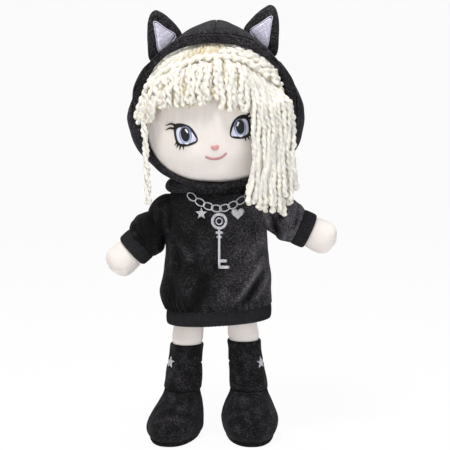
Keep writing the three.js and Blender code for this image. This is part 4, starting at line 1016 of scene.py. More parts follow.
def sleeve_surface(side):
    """A sleeve: from the seam round the armhole, over a ball at the shoulder, and in to the cuff.

    Its first half turns on the ball from the armhole's circle to the arm's own, and folds run along it.
    """
    shoulder, along, upwards = arm_axes(side)
    angle = turns(120)[None]
    inset = abs(shoulder[0] - X0) - ARMHOLE
    ring = math.sqrt(SLEEVE_ROOT ** 2 - inset ** 2)
    start = xyz(-SIGN[side] * inset, ring * np.sin(angle), ring * np.cos(angle))
    waist = math.sqrt(SLEEVE_ROOT ** 2 - SLEEVE_TURN ** 2)
    end = on_arm(side, SLEEVE_TURN, waist, angle) - shoulder
    tuck = SLEEVE_TUCK * smooth(0.1, -0.9, np.cos(angle))
    blend = np.linspace(0, 1, 30)[:, None, None]
    ball = shoulder + unit(mix(start, end, blend)) * (SLEEVE_ROOT - tuck)[..., None]
    t = np.linspace(SLEEVE_TURN, SLEEVE_LENGTH + 0.4, 46)[1:, None]
    share = (t - SLEEVE_TURN) / (SLEEVE_LENGTH - SLEEVE_TURN)
    puff = 1.3 + 1.6 * smooth(-0.2, 0.9, np.cos(angle))
    radius = mix(waist, 14.5, share) + puff * np.sin(share * math.pi) - tuck * smooth(24, SLEEVE_TURN, t)
    points = np.concatenate([ball, on_arm(side, t, radius, angle)])
    reach, height_up = (points - shoulder) @ along, (points - shoulder) @ upwards
    folds = np.zeros(points.shape[:2])
    for (t0, v0), (t1, v1), height, width in SLEEVE_FOLDS:
        dt, dv = t1 - t0, v1 - v0
        length = math.hypot(dt, dv)
        share = ((reach - t0) * dt + (height_up - v0) * dv) / length ** 2
        off = ((reach - t0) * dv - (height_up - v0) * dt) / length + 1.2 * np.sin(share * math.pi)
        folds += height * np.exp(-(off / width) ** 2) * smooth(-0.2, 0.25, share) * smooth(1.25, 0.8, share)
    round_seam = np.linspace(0, 1, len(points))[:, None]
    puckers = 0.6 * np.sin(17 * angle + SIGN[side]) * smooth(0.22, 0.02, round_seam)
    puckers = puckers + 0.55 * np.sin(13 * angle + 2) * smooth(0.72, 0.97, round_seam)
    push = (folds + puckers) * smooth(0, 0.1, round_seam) + 0.55 * lumps(points, 15, 41)
    return points + arm_out(side, points) * push[..., None], painted_fold_light(1.5 * push, points)


def cuff_loop(side, rib_spacing):
    """A ribbed cuff as a closed loop: out along its outside, round its edge and back inside."""
    ribs = int(TAU * CUFF_RADIUS / rib_spacing)
    angle = turns(6 * ribs)[None]
    share = np.linspace(0, 1, 12)[:, None]
    rib = 0.28 * np.cos(angle * ribs) * (1 - (2 * share - 1) ** 10)
    radius = CUFF_RADIUS + 0.25 * np.sin(share * math.pi) - 0.5 * (2 * share - 1) ** 8 + rib
    start, end = SLEEVE_LENGTH + 0.3, SLEEVE_LENGTH + CUFF_LENGTH
    outside = on_arm(side, mix(start, end, share), radius, angle)
    inside = on_arm(side, mix(start, end, np.array([[1], [0.5], [0]])), CUFF_INSIDE, angle)
    return np.concatenate([outside, inside, outside[:1]])


def arm_skin(side):
    """The stuffed arm: a round loft from its sewn root to a flatter, uneven mitten hand."""
    t = np.concatenate([np.linspace(-10.4, 41, 60), np.linspace(41, 63.6, 60)[1:]])[:, None]
    angle = turns(72)[None]
    radius, = stations(ARM_ROWS, t, 1.2)
    points = on_arm(side, t, radius, angle)
    depth = SHOULDERS[side][1]
    points[..., 1] = depth + (points[..., 1] - depth) * mix(1.0, 0.92, smooth(42, 52, t))
    return points + arm_out(side, points) * (0.3 * lumps(points, 16, 51) * smooth(38, 48, t))[..., None]


# Torso, legs and boots

TORSO_ROWS = [          # share of the height, half-width and half-depth
    (0.0, 10.0, 6.0), (0.02, 23.5, 12.5), (0.06, 31.0, 17.5), (0.13, 34.5, 21.5), (0.27, 34.5, 22.5),
    (0.46, 31.8, 22.0), (0.64, 30.0, 20.5), (0.76, 30.0, 19.0), (0.82, 26.0, 17.5), (0.86, 18.0, 15.5),
    (0.89, 15.0, 15.0), (1.0, 15.0, 15.0),
]


def torso_skin():
    """The stuffed body inside the dress: superellipses from under the hips up to the neck."""
    low, high = box_mm("torso")
    share = np.linspace(0, 1, 70)[:, None]
    half, depth = stations(TORSO_ROWS, share, 0.008)
    c, s = oval(turns(72)[None], 2.2)
    return xyz(X0 + half * c, Y0 + depth * s, mix(low[2], high[2], share))


shaft_low, shaft_high = box_mm("left_boot_shaft")
ANKLE_Z = shaft_low[2]
# The doll's right boot is pushed further down its leg, and its foot is a little slimmer.
BOOT = {
    side: {
        "ankle": X0 + SIGN[side] * ankle, "shift": SIGN[side] * shift,
        "toe_out": math.radians(toe_out) * SIGN[side], "top": shaft_high[2] - drop, "girth": girth}
    for side, ankle, shift, toe_out, drop, girth in (
        ("left", 27.2, 0.6, 3, 0.4, 1.04), ("right", 26.4, 5.2, 11, 3.4, 0.96))
}
BOOT_STAR_SIZE = 5.2
SHAFT_ROWS = [(0, 15.0), (0.05, 15.3), (0.5, 14.2), (1, 13.5)]     # share of the shaft's height, radius
SHAFT_INSIDE = 12.0
LEG_BALL = 11.6         # radius of the leg's round end at the hip
HIPS = {side: pivot(f"{side}_hip") for side in SIGN}


def leg_axis(side, z):
    """x of the leg's axis at a height: upright above the hip, and leaning out to the ankle below it."""
    hip = HIPS[side]
    return hip[0] + (BOOT[side]["ankle"] - hip[0]) * np.maximum(0, hip[2] - z) / (hip[2] - ANKLE_Z)


def leg_rings(side, z, radius, angle):
    """Circles about the leg's axis."""
    return xyz(leg_axis(side, z) + radius * np.cos(angle), Y0 + radius * np.sin(angle), z)


def leg_skin(side):
    """The stuffed leg: a round loft from the ball at the hip to the ankle, inside the boot."""
    hip, top = HIPS[side], BOOT[side]["top"]
    ball = [(hip[2] + LEG_BALL * math.cos(a), LEG_BALL * math.sin(a)) for a in np.linspace(0.08, 1.5, 18)]
    rows = ball + [(hip[2] - 7, 11.5), (hip[2] - 16, 12.3), (top + 4, 12.5), (top + 0.6, 11.7),
                   (ANKLE_Z + 0.5, 11.6)]
    heights, radii = np.transpose(rows)
    z = np.interp(np.linspace(0, len(rows) - 1, 80), np.arange(len(rows)), heights)[:, None]
    return leg_rings(side, z, np.interp(z, heights[::-1], radii[::-1]), turns(72)[None])


def shaft_surface(side):
    """The boot's shaft as a closed loop: up its outside across a sewn seam, over its top and down inside."""
    top = BOOT[side]["top"]
    share = np.linspace(0, 1, 64)[:, None]
    angle = turns(120)[None]
    z = mix(ANKLE_Z + 0.2, top, share)
    radius = np.interp(share, *np.transpose(SHAFT_ROWS))
    radius = radius - 0.9 * np.exp(-((z - mix(ANKLE_Z, top, 0.56)) / 0.9) ** 2)
    radius = radius - 0.9 * smooth(0.97, 1.0, share) - 0.8 * smooth(0.03, 0.0, share)
    radius = radius + 0.35 * np.sin(share * math.pi * 2)
    outside = leg_rings(side, z, radius, angle)
    out = unit(outside - xyz(leg_axis(side, z), Y0, z))
    outside = outside + out * (0.35 * lumps(outside, 13, 61))[..., None]
    z = np.array([top, mix(ANKLE_Z, top, 0.5), ANKLE_Z + 0.3])[:, None]
    inside = leg_rings(side, z, SHAFT_INSIDE, angle)
    return np.concatenate([outside, inside, outside[:1]])


def on_shaft(side):
    """A place function for stitching on a shaft's outer side, across and up from its star's middle."""
    mark_z = middle_of(f"{side}_boot_star")[1]
    mark_angle = math.radians(-35 if side == "left" else 215)

    def at(across, up, lift):
        share = (mark_z + up - ANKLE_Z) / (BOOT[side]["top"] - ANKLE_Z)
        radius = np.interp(share, *np.transpose(SHAFT_ROWS)) + 0.2 + lift
        return leg_rings(side, mark_z + up, radius, mark_angle + across / 15)
    return at


FOOT_LOW = 2.7
SOLE_ROWS = [(0.0, 2.4), (0.05, 1.5), (0.7, 0.4), (1.5, 0.1), (2.2, 0.6), (2.4, 1.5)]      # height, inset
FOOT_ROWS = [           # share of the foot's height, half-width, and how far its toe and heel reach
    (0.0, 17.9, 37.0, 19.8), (0.083, 20.8, 40.8, 22.5), (0.207, 22.3, 43.0, 24.0), (0.36, 22.3, 41.8, 24.0),
    (0.55, 20.5, 36.0, 22.5), (0.75, 18.1, 26.0, 19.5), (0.9, 15.6, 20.0, 17.0), (1.0, 14.7, 14.7, 14.7),
]


def foot_point(side, angle, share, grow=0.0):
    """A point of the foot: an oval at each height, longest at the toe, turned out at the ankle."""
    boot = BOOT[side]
    half, toe, heel = stations(FOOT_ROWS, share, 0.05)
    c, s = oval(angle, mix(2.25, 2, share))
    x = (half * mix(1, boot["girth"], smooth(0.1, 0.4, share)) + grow) * c
    y = (np.where(s < 0, toe, heel) + grow) * s
    shift = boot["shift"] * smooth(1, 0.22, share)
    turn = boot["toe_out"]
    return xyz(
        boot["ankle"] + shift + x * math.cos(turn) - y * math.sin(turn),
        Y0 + x * math.sin(turn) + y * math.cos(turn), mix(FOOT_LOW, ANKLE_Z - 0.3, share))


def foot_skin(side):
    """The stuffed foot, with a seam up the middle of the toe and a little unevenness."""
    share = np.concatenate([np.linspace(0, 0.12, 10), np.linspace(0.12, 1, 60)[1:]])[:, None]
    angle = turns(132)[None]
    points = foot_point(side, angle, share)
    middle = points.mean(axis=1, keepdims=True)
    toe_seam = 0.5 * np.exp(-((angle - 1.5 * math.pi) / 0.035) ** 2) * smooth(0.85, 0.6, share)
    return points + unit(points - middle) * (0.6 * lumps(points, 17, 71) - toe_seam)[..., None]


def sole_pad(side):
    """The flat sole: the foot's own outline in a thin slab with a round edge."""
    z, inset = np.transpose(SOLE_ROWS)[:, :, None]
    points = foot_point(side, turns(132)[None], 0 * z, 0.2 - inset)
    points[..., 2] = z
    return points


def sole_welt(side):
    """The piping sewn round the seam between foot and sole."""
    path = foot_point(side, np.linspace(0, TAU, 161)[:, None], 0.01)
    path[..., 2] = FOOT_LOW + 0.1
    out = unit(path - path.mean(0)) * [1, 1, 0]
    around = turns(10)[None, :, None]
    return path + 0.8 * (np.cos(around) * out + np.sin(around) * [0, 0, 1])


# Chest embroidery

CHAIN_X = X0 + 3.5
CHAIN_LOW = DRESS_TOP - 11
CHAIN_RISE = 9.4
CHAIN_HALF = 22.5
LINKS = 8
LINK = (4.4, 3.05, 0.5)         # half-length, half-height and half the wire's thickness
HANG = 3.2                      # from the chain's line to the top of what hangs from it
BOW = 6.5
KEY_LENGTH = 44


def on_chest(across, up, lift):
    """A place function for stitching: x and z, raised by lift from the dress."""
    return xyz(across, dress_front(across, up) - lift, up)


def chain_z(x):
    """Height of the chain at x: lowest in the middle, rising by a power of the distance."""
    return CHAIN_LOW + CHAIN_RISE * (np.abs(x - CHAIN_X) / CHAIN_HALF) ** 1.7


def stitched_ring(x, z, slope, half_length, half_height, wire, lift):
    """A ring of thread about a centre, tilted by slope, its wire half-round."""
    angle = turns(40)[:, None]
    around = turns(8)[None]
    u = (half_length - wire + wire * np.cos(around)) * np.cos(angle)
    v = (half_height - wire + wire * np.cos(around)) * np.sin(angle)
    across = x + u * math.cos(slope) - v * math.sin(slope)
    up = z + u * math.sin(slope) + v * math.cos(slope)
    ring = on_chest(across, up, lift + 0.45 * np.sin(around))
    return np.concatenate([ring, ring[:1]])


def chain_links():
    """The links side by side along the chain, each tilted with it, every second one over its neighbours."""
    links = []
    for i in range(LINKS):
        x = CHAIN_X + 1 + mix(-CHAIN_HALF, CHAIN_HALF, i / (LINKS - 1))
        slope = math.atan2(chain_z(x + 1) - chain_z(x - 1), 2)
        links.append(stitched_ring(x, chain_z(x), slope, *LINK, 0.6 + 0.25 * (i % 2)))
    return links


def key_grids():
    """The key's shaft with its collars and bits, and the two rings of its bow."""
    top = chain_z(CHAIN_X) - HANG
    foot, collar = top - KEY_LENGTH, top - 2 * BOW
    bars = (
        (-1.1, 1.1, foot, collar + 1), (-3, 3, collar - 3.4, collar - 1.4),
        (-2.2, 2.2, collar - 6.6, collar - 5.0), (0, 8, foot, foot + 2.6), (0, 6, foot + 5, foot + 7.6),
    )
    outlines = [rounded_bar(CHAIN_X + x0, CHAIN_X + x1, z0, z1) for x0, x1, z0, z1 in bars]
    bow = [
        stitched_ring(CHAIN_X, top - BOW, 0, size, size, wire, 0.5) for size, wire in ((BOW, 1.15), (3, 0.55))]
    return [raised(outline, on_chest, 0.1, 0.95) for outline in outlines], bow


def charm(outline, away, size):
    """A pad that hangs from the chain, away from its middle."""
    x = CHAIN_X + away
    return raised(outline + [x, chain_z(x) - HANG - size], on_chest, 0.1, 1.0)


def rounded_bar(x0, x1, z0, z1):
    """Outline of a bar with rounded corners."""
    c, s = oval(turns(32), 7)
    return xyz((x0 + x1) / 2 + (x1 - x0) / 2 * c, (z0 + z1) / 2 + (z1 - z0) / 2 * s)


def star_outline(size):
    """Outline of a five-pointed star: ten corners with five points on each side between them."""
    corner = np.arange(10)
    radius = np.where(corner % 2, size * 0.45, size)
    angle = np.radians(90 + corner * 36)
    points = xyz(radius * np.cos(angle), radius * np.sin(angle))
    share = np.linspace(0, 1, 6)[:-1, None]
    return mix(points[:, None], np.roll(points, -1, axis=0)[:, None], share).reshape(-1, 2)


def heart_outline(size):
    """Outline of a heart, from the usual sum of cosines."""
    a = turns(64)
    x = 16 * np.sin(a) ** 3
    z = 13 * np.cos(a) - 5 * np.cos(2 * a) - 2 * np.cos(3 * a) - np.cos(4 * a)
    return xyz(x, z) / 16 * size


# Colours and materials

def linear(text):
    """Linear red, green, blue and alpha of an sRGB hex value."""
    parts = np.array([int(text[i:i + 2], 16) for i in (1, 3, 5)]) / 255
    low, high = parts / 12.92, ((parts + 0.055) / 1.055) ** 2.4
    return (*np.where(parts <= 0.04045, low, high), 1.0)


def shades(colour, *stops):
    """Stops of a colour ramp, each given as its place and a multiple of one linear colour."""
    return [(place, (*(share * part for part in colour), 1.0)) for place, share in stops]


def add_node(tree, name, kind, inputs=None, stops=(), **settings):
    """Adds a shader node, or finds it by its name, and sets its settings, its ramp's stops and its inputs.

    An input written as "name.Output" is linked to that output of the node with that name.
    """
    node = tree.nodes.get(name) or tree.nodes.new(f"ShaderNode{kind}")
    node.name = name
    for key, value in settings.items():
        setattr(node, key, value)
    for i, (place, colour) in enumerate(stops):
        ends = node.color_ramp.elements
        stop = ends[i] if i < 2 else ends.new(place)
        stop.position, stop.color = place, colour
    for key, value in (inputs or {}).items():
        if isinstance(value, str):
            source, output = value.split(".")
            tree.links.new(tree.nodes[source].outputs[output], node.inputs[key])
        else:
            node.inputs[key].default_value = value


def node_material(name, nodes):
    """A material from its nodes in order, each its name, kind, inputs and, where it has any, settings."""
    made = bpy.data.materials.new(name)
    made.use_nodes = True
    for label, kind, inputs, *settings in nodes:
        add_node(made.node_tree, label, kind, inputs, **(settings[0] if settings else {}))
    return made


def textured(name, sockets, nodes, stops, height, depth, strength=1.0):
    """A material whose node named mixed gives a value that the stops turn to colour.

    sockets are the shader's own values. height is the output that the relief follows, depth millimetres deep.
    """
    return node_material(name, [
        ("place", "TexCoord", {}), ("tone", "Attribute", {}, {"attribute_name": "tone"}), *nodes,
        ("colour", "ValToRGB", {"Fac": "mixed.Result"}, {"stops": stops}),
        ("relief", "Bump", {"Height": height, "Distance": depth * MM, "Strength": strength}),
        ("Principled BSDF", "BsdfPrincipled",
         {**sockets, "Base Color": "colour.Color", "Normal": "relief.Normal"}),
    ])


BANDS = TAU / 20        # a wave texture repeats every twentieth of a turn of its scale


def velvet(looks, name, knit):
    """Velour: a short pile, raised by brushing, on a knit. It drinks light face on, and its pile tips shine at
    the edges.

    The pile is grained, its knitted rows show through by the share knit, and the attribute "tone" carries
    painted light:
    a painted highlight on the crests of folds and painted shade in their valleys. The rows are really 1 mm
    apart, too fine to show.
    """
    return textured(name, {
        "Roughness": 0.92, "Specular IOR Level": 0.18, "Sheen Weight": looks.velvet_sheen,
        "Sheen Roughness": 0.38, "Sheen Tint": linear("#8f8c9c"),
    }, [
        ("pile", "TexNoise", {"Vector": "place.Object", "Scale": 1 / (1.3 * MM), "Detail": 4}),
        ("tufts", "MapRange", {"Value": "pile.Fac", "From Min": 0.27, "From Max": 0.73}),
        ("rows", "TexWave", {"Vector": "place.UV", "Scale": BANDS / looks.knit_spacing, "Distortion": 0.8,
                             "Detail": 1}, {"bands_direction": "Y"}),
        ("grain", "Mix", {"Factor": knit, "A": "tufts.Result", "B": "rows.Fac"}),
        ("nap", "TexNoise", {"Vector": "place.Object", "Scale": 1 / (12 * MM), "Detail": 2}),
        ("cloth", "Mix", {"Factor": 0.3, "A": "grain.Result", "B": "nap.Fac"}),
        ("mixed", "Mix", {"Factor": 0.42, "A": "cloth.Result", "B": "tone.Fac"}),
    ], shades(looks.velvet_colour, (0.3, 0.2), (0.4, 0.7), (0.49, 2), (0.6, 5), (0.78, 15)),
        "grain.Result", 0.6, 0.9)


def plush(looks):
    """Boot plush: a coarser pile than the dress, so it sparkles in grains."""
    return textured("sheared polyester plush", {
        "Roughness": 0.95, "Specular IOR Level": 0.15, "Sheen Weight": looks.velvet_sheen * 0.8,
        "Sheen Roughness": 0.45, "Sheen Tint": linear("#7f7a8c"),
    }, [
        ("grain", "TexNoise", {"Vector": "place.Object", "Scale": 1 / (0.9 * MM), "Detail": 4}),
        ("nap", "TexNoise", {"Vector": "place.Object", "Scale": 1 / (8 * MM), "Detail": 2}),
        ("mixed", "Mix", {"Factor": 0.3, "A": "grain.Fac", "B": "nap.Fac"}),
    ], shades(looks.velvet_colour, (0.42, 0.25), (0.49, 0.9), (0.56, 2.4), (0.66, 8.5)), "grain.Fac", 1.0)


def rib_knit(looks):
    """Rib knit: the ribs are in the mesh, and rows of loops cross them."""
    return textured("black rib knit", {
        "Roughness": 0.9, "Specular IOR Level": 0.2, "Sheen Weight": looks.velvet_sheen * 0.7,
        "Sheen Roughness": 0.4, "Sheen Tint": linear("#8b8698"),
    }, [
        ("loops", "TexWave", {"Vector": "place.UV", "Scale": BANDS / (0.9 * MM), "Distortion": 1.2,
                              "Detail": 1}, {"bands_direction": "Y"}),
        ("fluff", "TexNoise", {"Vector": "place.Object", "Scale": 1 / (0.6 * MM), "Detail": 3}),
        ("mixed", "Mix", {"Factor": 0.6, "A": "loops.Fac", "B": "fluff.Fac"}),
    ], shades(looks.rib_colour, (0.34, 0.2), (0.5, 0.9), (0.68, 5)), "mixed.Result", 0.4, 0.8)


def skin_plush(looks):
    """Skin plush: a very short dense pile, soft and matt, that lets a little warm light through."""
    return textured("short pile skin plush", {
        "Roughness": 0.88, "Specular IOR Level": 0.25, "Sheen Weight": 0.25, "Sheen Roughness": 0.5,
        "Sheen Tint": linear("#fff8f6"), "Subsurface Weight": 0.15, "Subsurface Scale": 0.003,
        "Subsurface Radius": (1.0, 0.6, 0.45),
    }, [
        ("pile", "TexNoise", {"Vector": "place.Object", "Scale": 1 / (0.7 * MM), "Detail": 3}),
        ("patches", "TexNoise", {"Vector": "place.Object", "Scale": 1 / (18 * MM), "Detail": 2}),
        ("mixed", "Mix", {"Factor": 0.5, "A": "pile.Fac", "B": "patches.Fac"}),
    ], shades(looks.skin_colour, (0.3, 0.9), (0.7, 1)), "pile.Fac", 0.35, 0.6)


def yarn(looks):
    """Acrylic yarn: fluffy twisted plies, ivory where they catch the light and a painted straw-coloured shade
    in the gaps.

    The attribute "tone" paints shade: it says how much light reaches a point. Fibres slant round each ply in
    its relief.
    """
    return textured("twisted acrylic yarn", {
        "Roughness": 0.75, "Specular IOR Level": 0.3, "Sheen Weight": 0.7, "Sheen Roughness": 0.6,
        "Sheen Tint": linear("#fffaf0"), "Subsurface Weight": 0.35, "Subsurface Scale": 0.0025,
        "Subsurface Radius": (1.0, 0.88, 0.62),
    }, [
        ("fluff", "TexNoise", {"Vector": "place.Object", "Scale": 1 / (1.1 * MM), "Detail": 3}),
        ("streak", "TexNoise", {"Vector": "place.Object", "Scale": 1 / (9 * MM), "Detail": 1}),
        ("spread", "Mix", {"Factor": 0.5, "A": "fluff.Fac", "B": "streak.Fac"}),
        ("mixed", "Mix", {"Factor": 0.55, "A": "tone.Fac", "B": "spread.Result"}),
        ("slant", "Mapping", {"Vector": "place.UV", "Rotation": (0, 0, 0.9)}),
        ("fibres", "TexWave", {"Vector": "slant.Vector", "Scale": BANDS / (0.7 * MM), "Distortion": 2,
                               "Detail": 1}),
        ("hairs", "Mix", {"Factor": 0.5, "A": "fibres.Fac", "B": "fluff.Fac"}),
    ], shades(looks.yarn_painted_shade_colour, (0.24, 1)) + shades(looks.yarn_colour, (0.5, 1)),
        "hairs.Result", 0.5, 0.9)


def satin_stitch(looks, name, *stops, period=0.6, **sockets):
    """Satin stitch: threads side by side, period millimetres apart, each a low ridge with a soft shine."""
    return textured(name, {"Roughness": 0.5, "Specular IOR Level": 0.4, **sockets}, [
        ("threads", "TexWave", {"Vector": "place.Object", "Scale": BANDS / (period * MM), "Distortion": 1.5,
                                "Detail": 1}),
        ("grain", "TexNoise", {"Vector": "place.Object", "Scale": 1 / (0.8 * MM), "Detail": 2}),
        ("mixed", "Mix", {"Factor": 0.55, "A": "threads.Fac", "B": "grain.Fac"}),
    ], [(place, linear(colour)) for place, colour in stops], "threads.Fac", 0.2, 0.7)


def lurex_stitch(looks):
    """Lurex thread: metal foil in the thread, so its ridges are coarser and shine as metal, with painted
    glints: their colour runs from grey to near white.
    """
    return satin_stitch(looks, "silver lurex thread", (0.36, "#5c5c65"), (0.62, "#ececf2"), period=0.9,
                        Roughness=0.42, Metallic=0.45)


def foiled_cloth(looks):
    """Foiled cloth: silver with broken pink and blue lights, on a fine weave."""
    stops = (0.22, "#a3a8c8"), (0.36, "#cfd0e6"), (0.48, "#c6bdd6"), (0.58, "#dcdff0"), (0.75, "#f0eef8")
    return textured("foiled silver cloth", {"Roughness": 0.42, "Metallic": 0.3, "Specular IOR Level": 0.5}, [
        ("cells", "TexVoronoi", {"Vector": "place.Object", "Scale": 1 / (1.6 * MM)}),
        ("blobs", "TexNoise", {"Vector": "place.Object", "Scale": 1 / (2.4 * MM), "Detail": 2}),
        ("mixed", "Mix", {"Factor": 0.6, "A": "cells.Distance", "B": "blobs.Fac"}),
    ], [(place, linear(colour)) for place, colour in stops], "mixed.Result", 0.3, 0.6)


def studio_paper(looks):
    """Studio paper: matt and pale. Most of it shows as plain white to the camera and to reflections."""
    return node_material("white studio paper", [
        ("Principled BSDF", "BsdfPrincipled",
         {"Roughness": 0.95, "Specular IOR Level": 0.1, "Base Color": (0.92, 0.92, 0.92, 1)}),
        ("ray", "LightPath", {}),
        ("white", "Emission", {"Color": (1, 1, 1, 1), "Strength": 1.0}),
        ("seen", "Math", {0: "ray.Is Camera Ray", 1: "ray.Is Glossy Ray"}, {"operation": "MAXIMUM"}),
        ("share", "Math", {0: "seen.Value", 1: 0.94}, {"operation": "MULTIPLY"}),
        ("both", "MixShader", {0: "share.Value", 1: "Principled BSDF.BSDF", 2: "white.Emission"}),
        ("Material Output", "OutputMaterial", {"Surface": "both.Shader"}),
    ])


FINISHES = {            # short name, then the maker and what it is told
    "velvet": (velvet, "knitted cotton velvet", 0.14),
    "hood": (velvet, "knitted cotton velvet, hood", 0.06),
    "plush": (plush,),
    "rib": (rib_knit,),
    "skin": (skin_plush,),
    "yarn": (yarn,),
    "silver thread": (lurex_stitch,),
    "silver cloth": (foiled_cloth,),
    "paper": (studio_paper,),
    "pale thread": (satin_stitch, "pale lilac thread", (0.2, "#a9a6b8"), (0.8, "#e6e4f0")),
    "black thread": (satin_stitch, "black rayon thread", (0.2, "#08080a"), (0.8, "#1c1b21")),
    "eye white": (satin_stitch, "lilac white rayon thread", (0.2, "#c9cde8"), (0.8, "#eef0fb")),
    "iris": (satin_stitch, "slate blue rayon thread", (0.2, "#565f80"), (0.8, "#9299b4")),
    "iris glow": (satin_stitch, "pale blue rayon thread", (0.2, "#93a3c9"), (0.8, "#c3cfe8")),
    "pupil": (satin_stitch, "ink blue rayon thread", (0.2, "#06070c"), (0.8, "#14161f")),
    "shine": (satin_stitch, "white rayon thread", (0.2, "#e9e9ee"), (0.8, "#ffffff")),
    "nose": (satin_stitch, "rose pink rayon thread", (0.2, "#cc8a8c"), (0.8, "#e6b0ae")),
    "mouth": (satin_stitch, "dusky pink rayon thread", (0.2, "#b47a7e"), (0.8, "#d2a0a1")),
}
made_materials = {}


def material(name):
    """A material of this doll by its short name, made the first time that it is asked for."""
    if name not in made_materials:
        maker, *told = FINISHES[name]
        made_materials[name] = maker(bpy.context.scene.doll_looks, *told)
    return made_materials[name]


# Settings

def colour_property(name, description, value):
    """A colour setting whose default is an sRGB hex value."""
    return bpy.props.FloatVectorProperty(
        name=name, description=description, subtype="COLOR", size=3, min=0, max=1, default=linear(value)[:3])


def length_property(name, description, millimetres):
    """A length setting whose default is in millimetres."""
    return bpy.props.FloatProperty(
        name=name, description=description, unit="LENGTH", min=0.0001, default=millimetres * MM, precision=5)


class DollLooks(bpy.types.PropertyGroup):
    """Colours and cloth of the doll."""

    velvet_colour: colour_property("Velvet", "Colour of the velvet and plush away from its shine", "#161517")
    rib_colour: colour_property("Ribbing", "Colour of the ribbed hem and cuffs", "#151517")
    skin_colour: colour_property("Skin", "Colour of the skin plush", "#ede6e2")
    yarn_colour: colour_property("Yarn", "Colour of the yarn where it catches the light", "#f9f5ea")
    # painted shade: the colour that stands in for shade in the yarn's gaps
    yarn_painted_shade_colour: colour_property("Yarn shade", "Colour of the yarn in its gaps", "#d8c698")
    velvet_sheen: bpy.props.FloatProperty(
        name="Velvet sheen", description="How much the pile shines at its edges", subtype="FACTOR",
        min=0, max=1, default=0.12)
    knit_spacing: length_property("Knit spacing", "From one line of the velvet's knit to the next", 1.5)
    rib_spacing: length_property("Rib spacing", "From one rib of the hem and cuffs to the next", 2.0)
    yarn_radius: length_property("Yarn radius", "Half the thickness of one strand", 1.85)


class DollStage(bpy.types.PropertyGroup):
    """Camera and light."""

    camera_distance: length_property("Camera distance", "From the camera to the doll", 1300)
    camera_rise: bpy.props.FloatProperty(
        name="Camera rise", description="How far above level the camera looks from", subtype="ANGLE",
        default=math.radians(8))
    view_width: length_property("View width", "What the camera takes in across the doll", 360)
    key_power: bpy.props.FloatProperty(
        name="Key light", description="Power of the large light at the front", unit="POWER", default=9.6)
    fill_power: bpy.props.FloatProperty(
        name="Fill light", description="Power of the light at the other side", unit="POWER", default=2.2)


# Steps

LAMPS = (               # name, place, size, the setting that gives its power and how many times, colour
    ("key_light", (-200, -440, 1160), 320, "key_power", 1.0, "#fffdfa"),
    ("fill_light", (760, -560, 330), 700, "fill_power", 1.1, "#f6f6fb"),
    ("top_light", (60, 160, 960), 600, "fill_power", 1.2, "#ffffff"),
    ("low_light", (-420, -840, 130), 460, "fill_power", 0.85, "#fffdfb"),
)
VIEW_MIDDLE = np.array([X0 + 8, Y0, 172.9])
LIT_POINT = np.array([X0, Y0, 190])


class DOLL_OT_stage(bpy.types.Operator):
    """Adds the paper floor and backdrop, the lights and the camera"""

    bl_idname = "doll.stage"
    bl_label = "Stage"

    def execute(self, context):
        scene, stage = context.scene, context.scene.doll_stage
        bend = np.linspace(0, math.pi / 2, 12)
        y = np.concatenate([[-4000, -1000, 0, 1000], 1800 + 900 * np.sin(bend), [2700]])[:, None]
        z = np.concatenate([[0, 0, 0, 0], 900 - 900 * np.cos(bend), [5200]])[:, None]
        sheet = xyz(np.linspace(-4000, 4000, 9)[None], y, z)
        add_piece("paper_floor", [sheet], "paper", None, wrap=False, caps=False)

        camera_data = bpy.data.cameras.new("camera")
        camera_data.sensor_width = 36
        camera_data.lens = 36 * stage.camera_distance / stage.view_width
        camera_data.clip_start = 0.01
        camera = bpy.data.objects.new("camera", camera_data)
        way = np.array([0, -math.cos(stage.camera_rise), math.sin(stage.camera_rise)])
        camera.location = VIEW_MIDDLE * MM + way * stage.camera_distance
        camera.rotation_euler = (math.pi / 2 - stage.camera_rise, 0, 0)
        scene.collection.objects.link(camera)
        scene.camera = camera

        for name, place, size, power, times, colour in LAMPS:
            data = bpy.data.lights.new(name, "AREA")
            data.shape = "DISK"
            data.size = size * MM
            data.energy = getattr(stage, power) * times
            data.color = linear(colour)[:3]
            lamp = bpy.data.objects.new(name, data)
            lamp.location = np.array(place) * MM
            x, y, z = LIT_POINT - np.array(place)
            lamp.rotation_euler = (math.atan2(math.hypot(x, y), -z), 0, math.atan2(-x, y))
            scene.collection.objects.link(lamp)

        scene.world = bpy.data.worlds.new("studio")
        scene.world.use_nodes = True
        tree = scene.world.node_tree
        add_node(tree, "ray", "LightPath")
        add_node(tree, "strength", "Mix", {"Factor": "ray.Is Camera Ray", "A": 0.3, "B": 1.0})
        add_node(tree, "Background", "Background", {"Color": (1, 1, 1, 1), "Strength": "strength.Result"})
        scene.view_settings.view_transform = "Standard"
        return {"FINISHED"}


class DOLL_OT_torso(bpy.types.Operator):
    """Adds the stuffed body inside the dress"""

    bl_idname = "doll.torso"
    bl_label = "Body"

    def execute(self, context):
        add_piece("torso_plush", [torso_skin()], "skin", "torso", ["torso"], "skin")
        return {"FINISHED"}


class DOLL_OT_head(bpy.types.Operator):
    """Adds the stuffed head"""

    bl_idname = "doll.head"
    bl_label = "Head"

    def execute(self, context):
        add_piece("head_plush", [head_skin()], "skin", "head", ["head"], "skin")
        return {"FINISHED"}


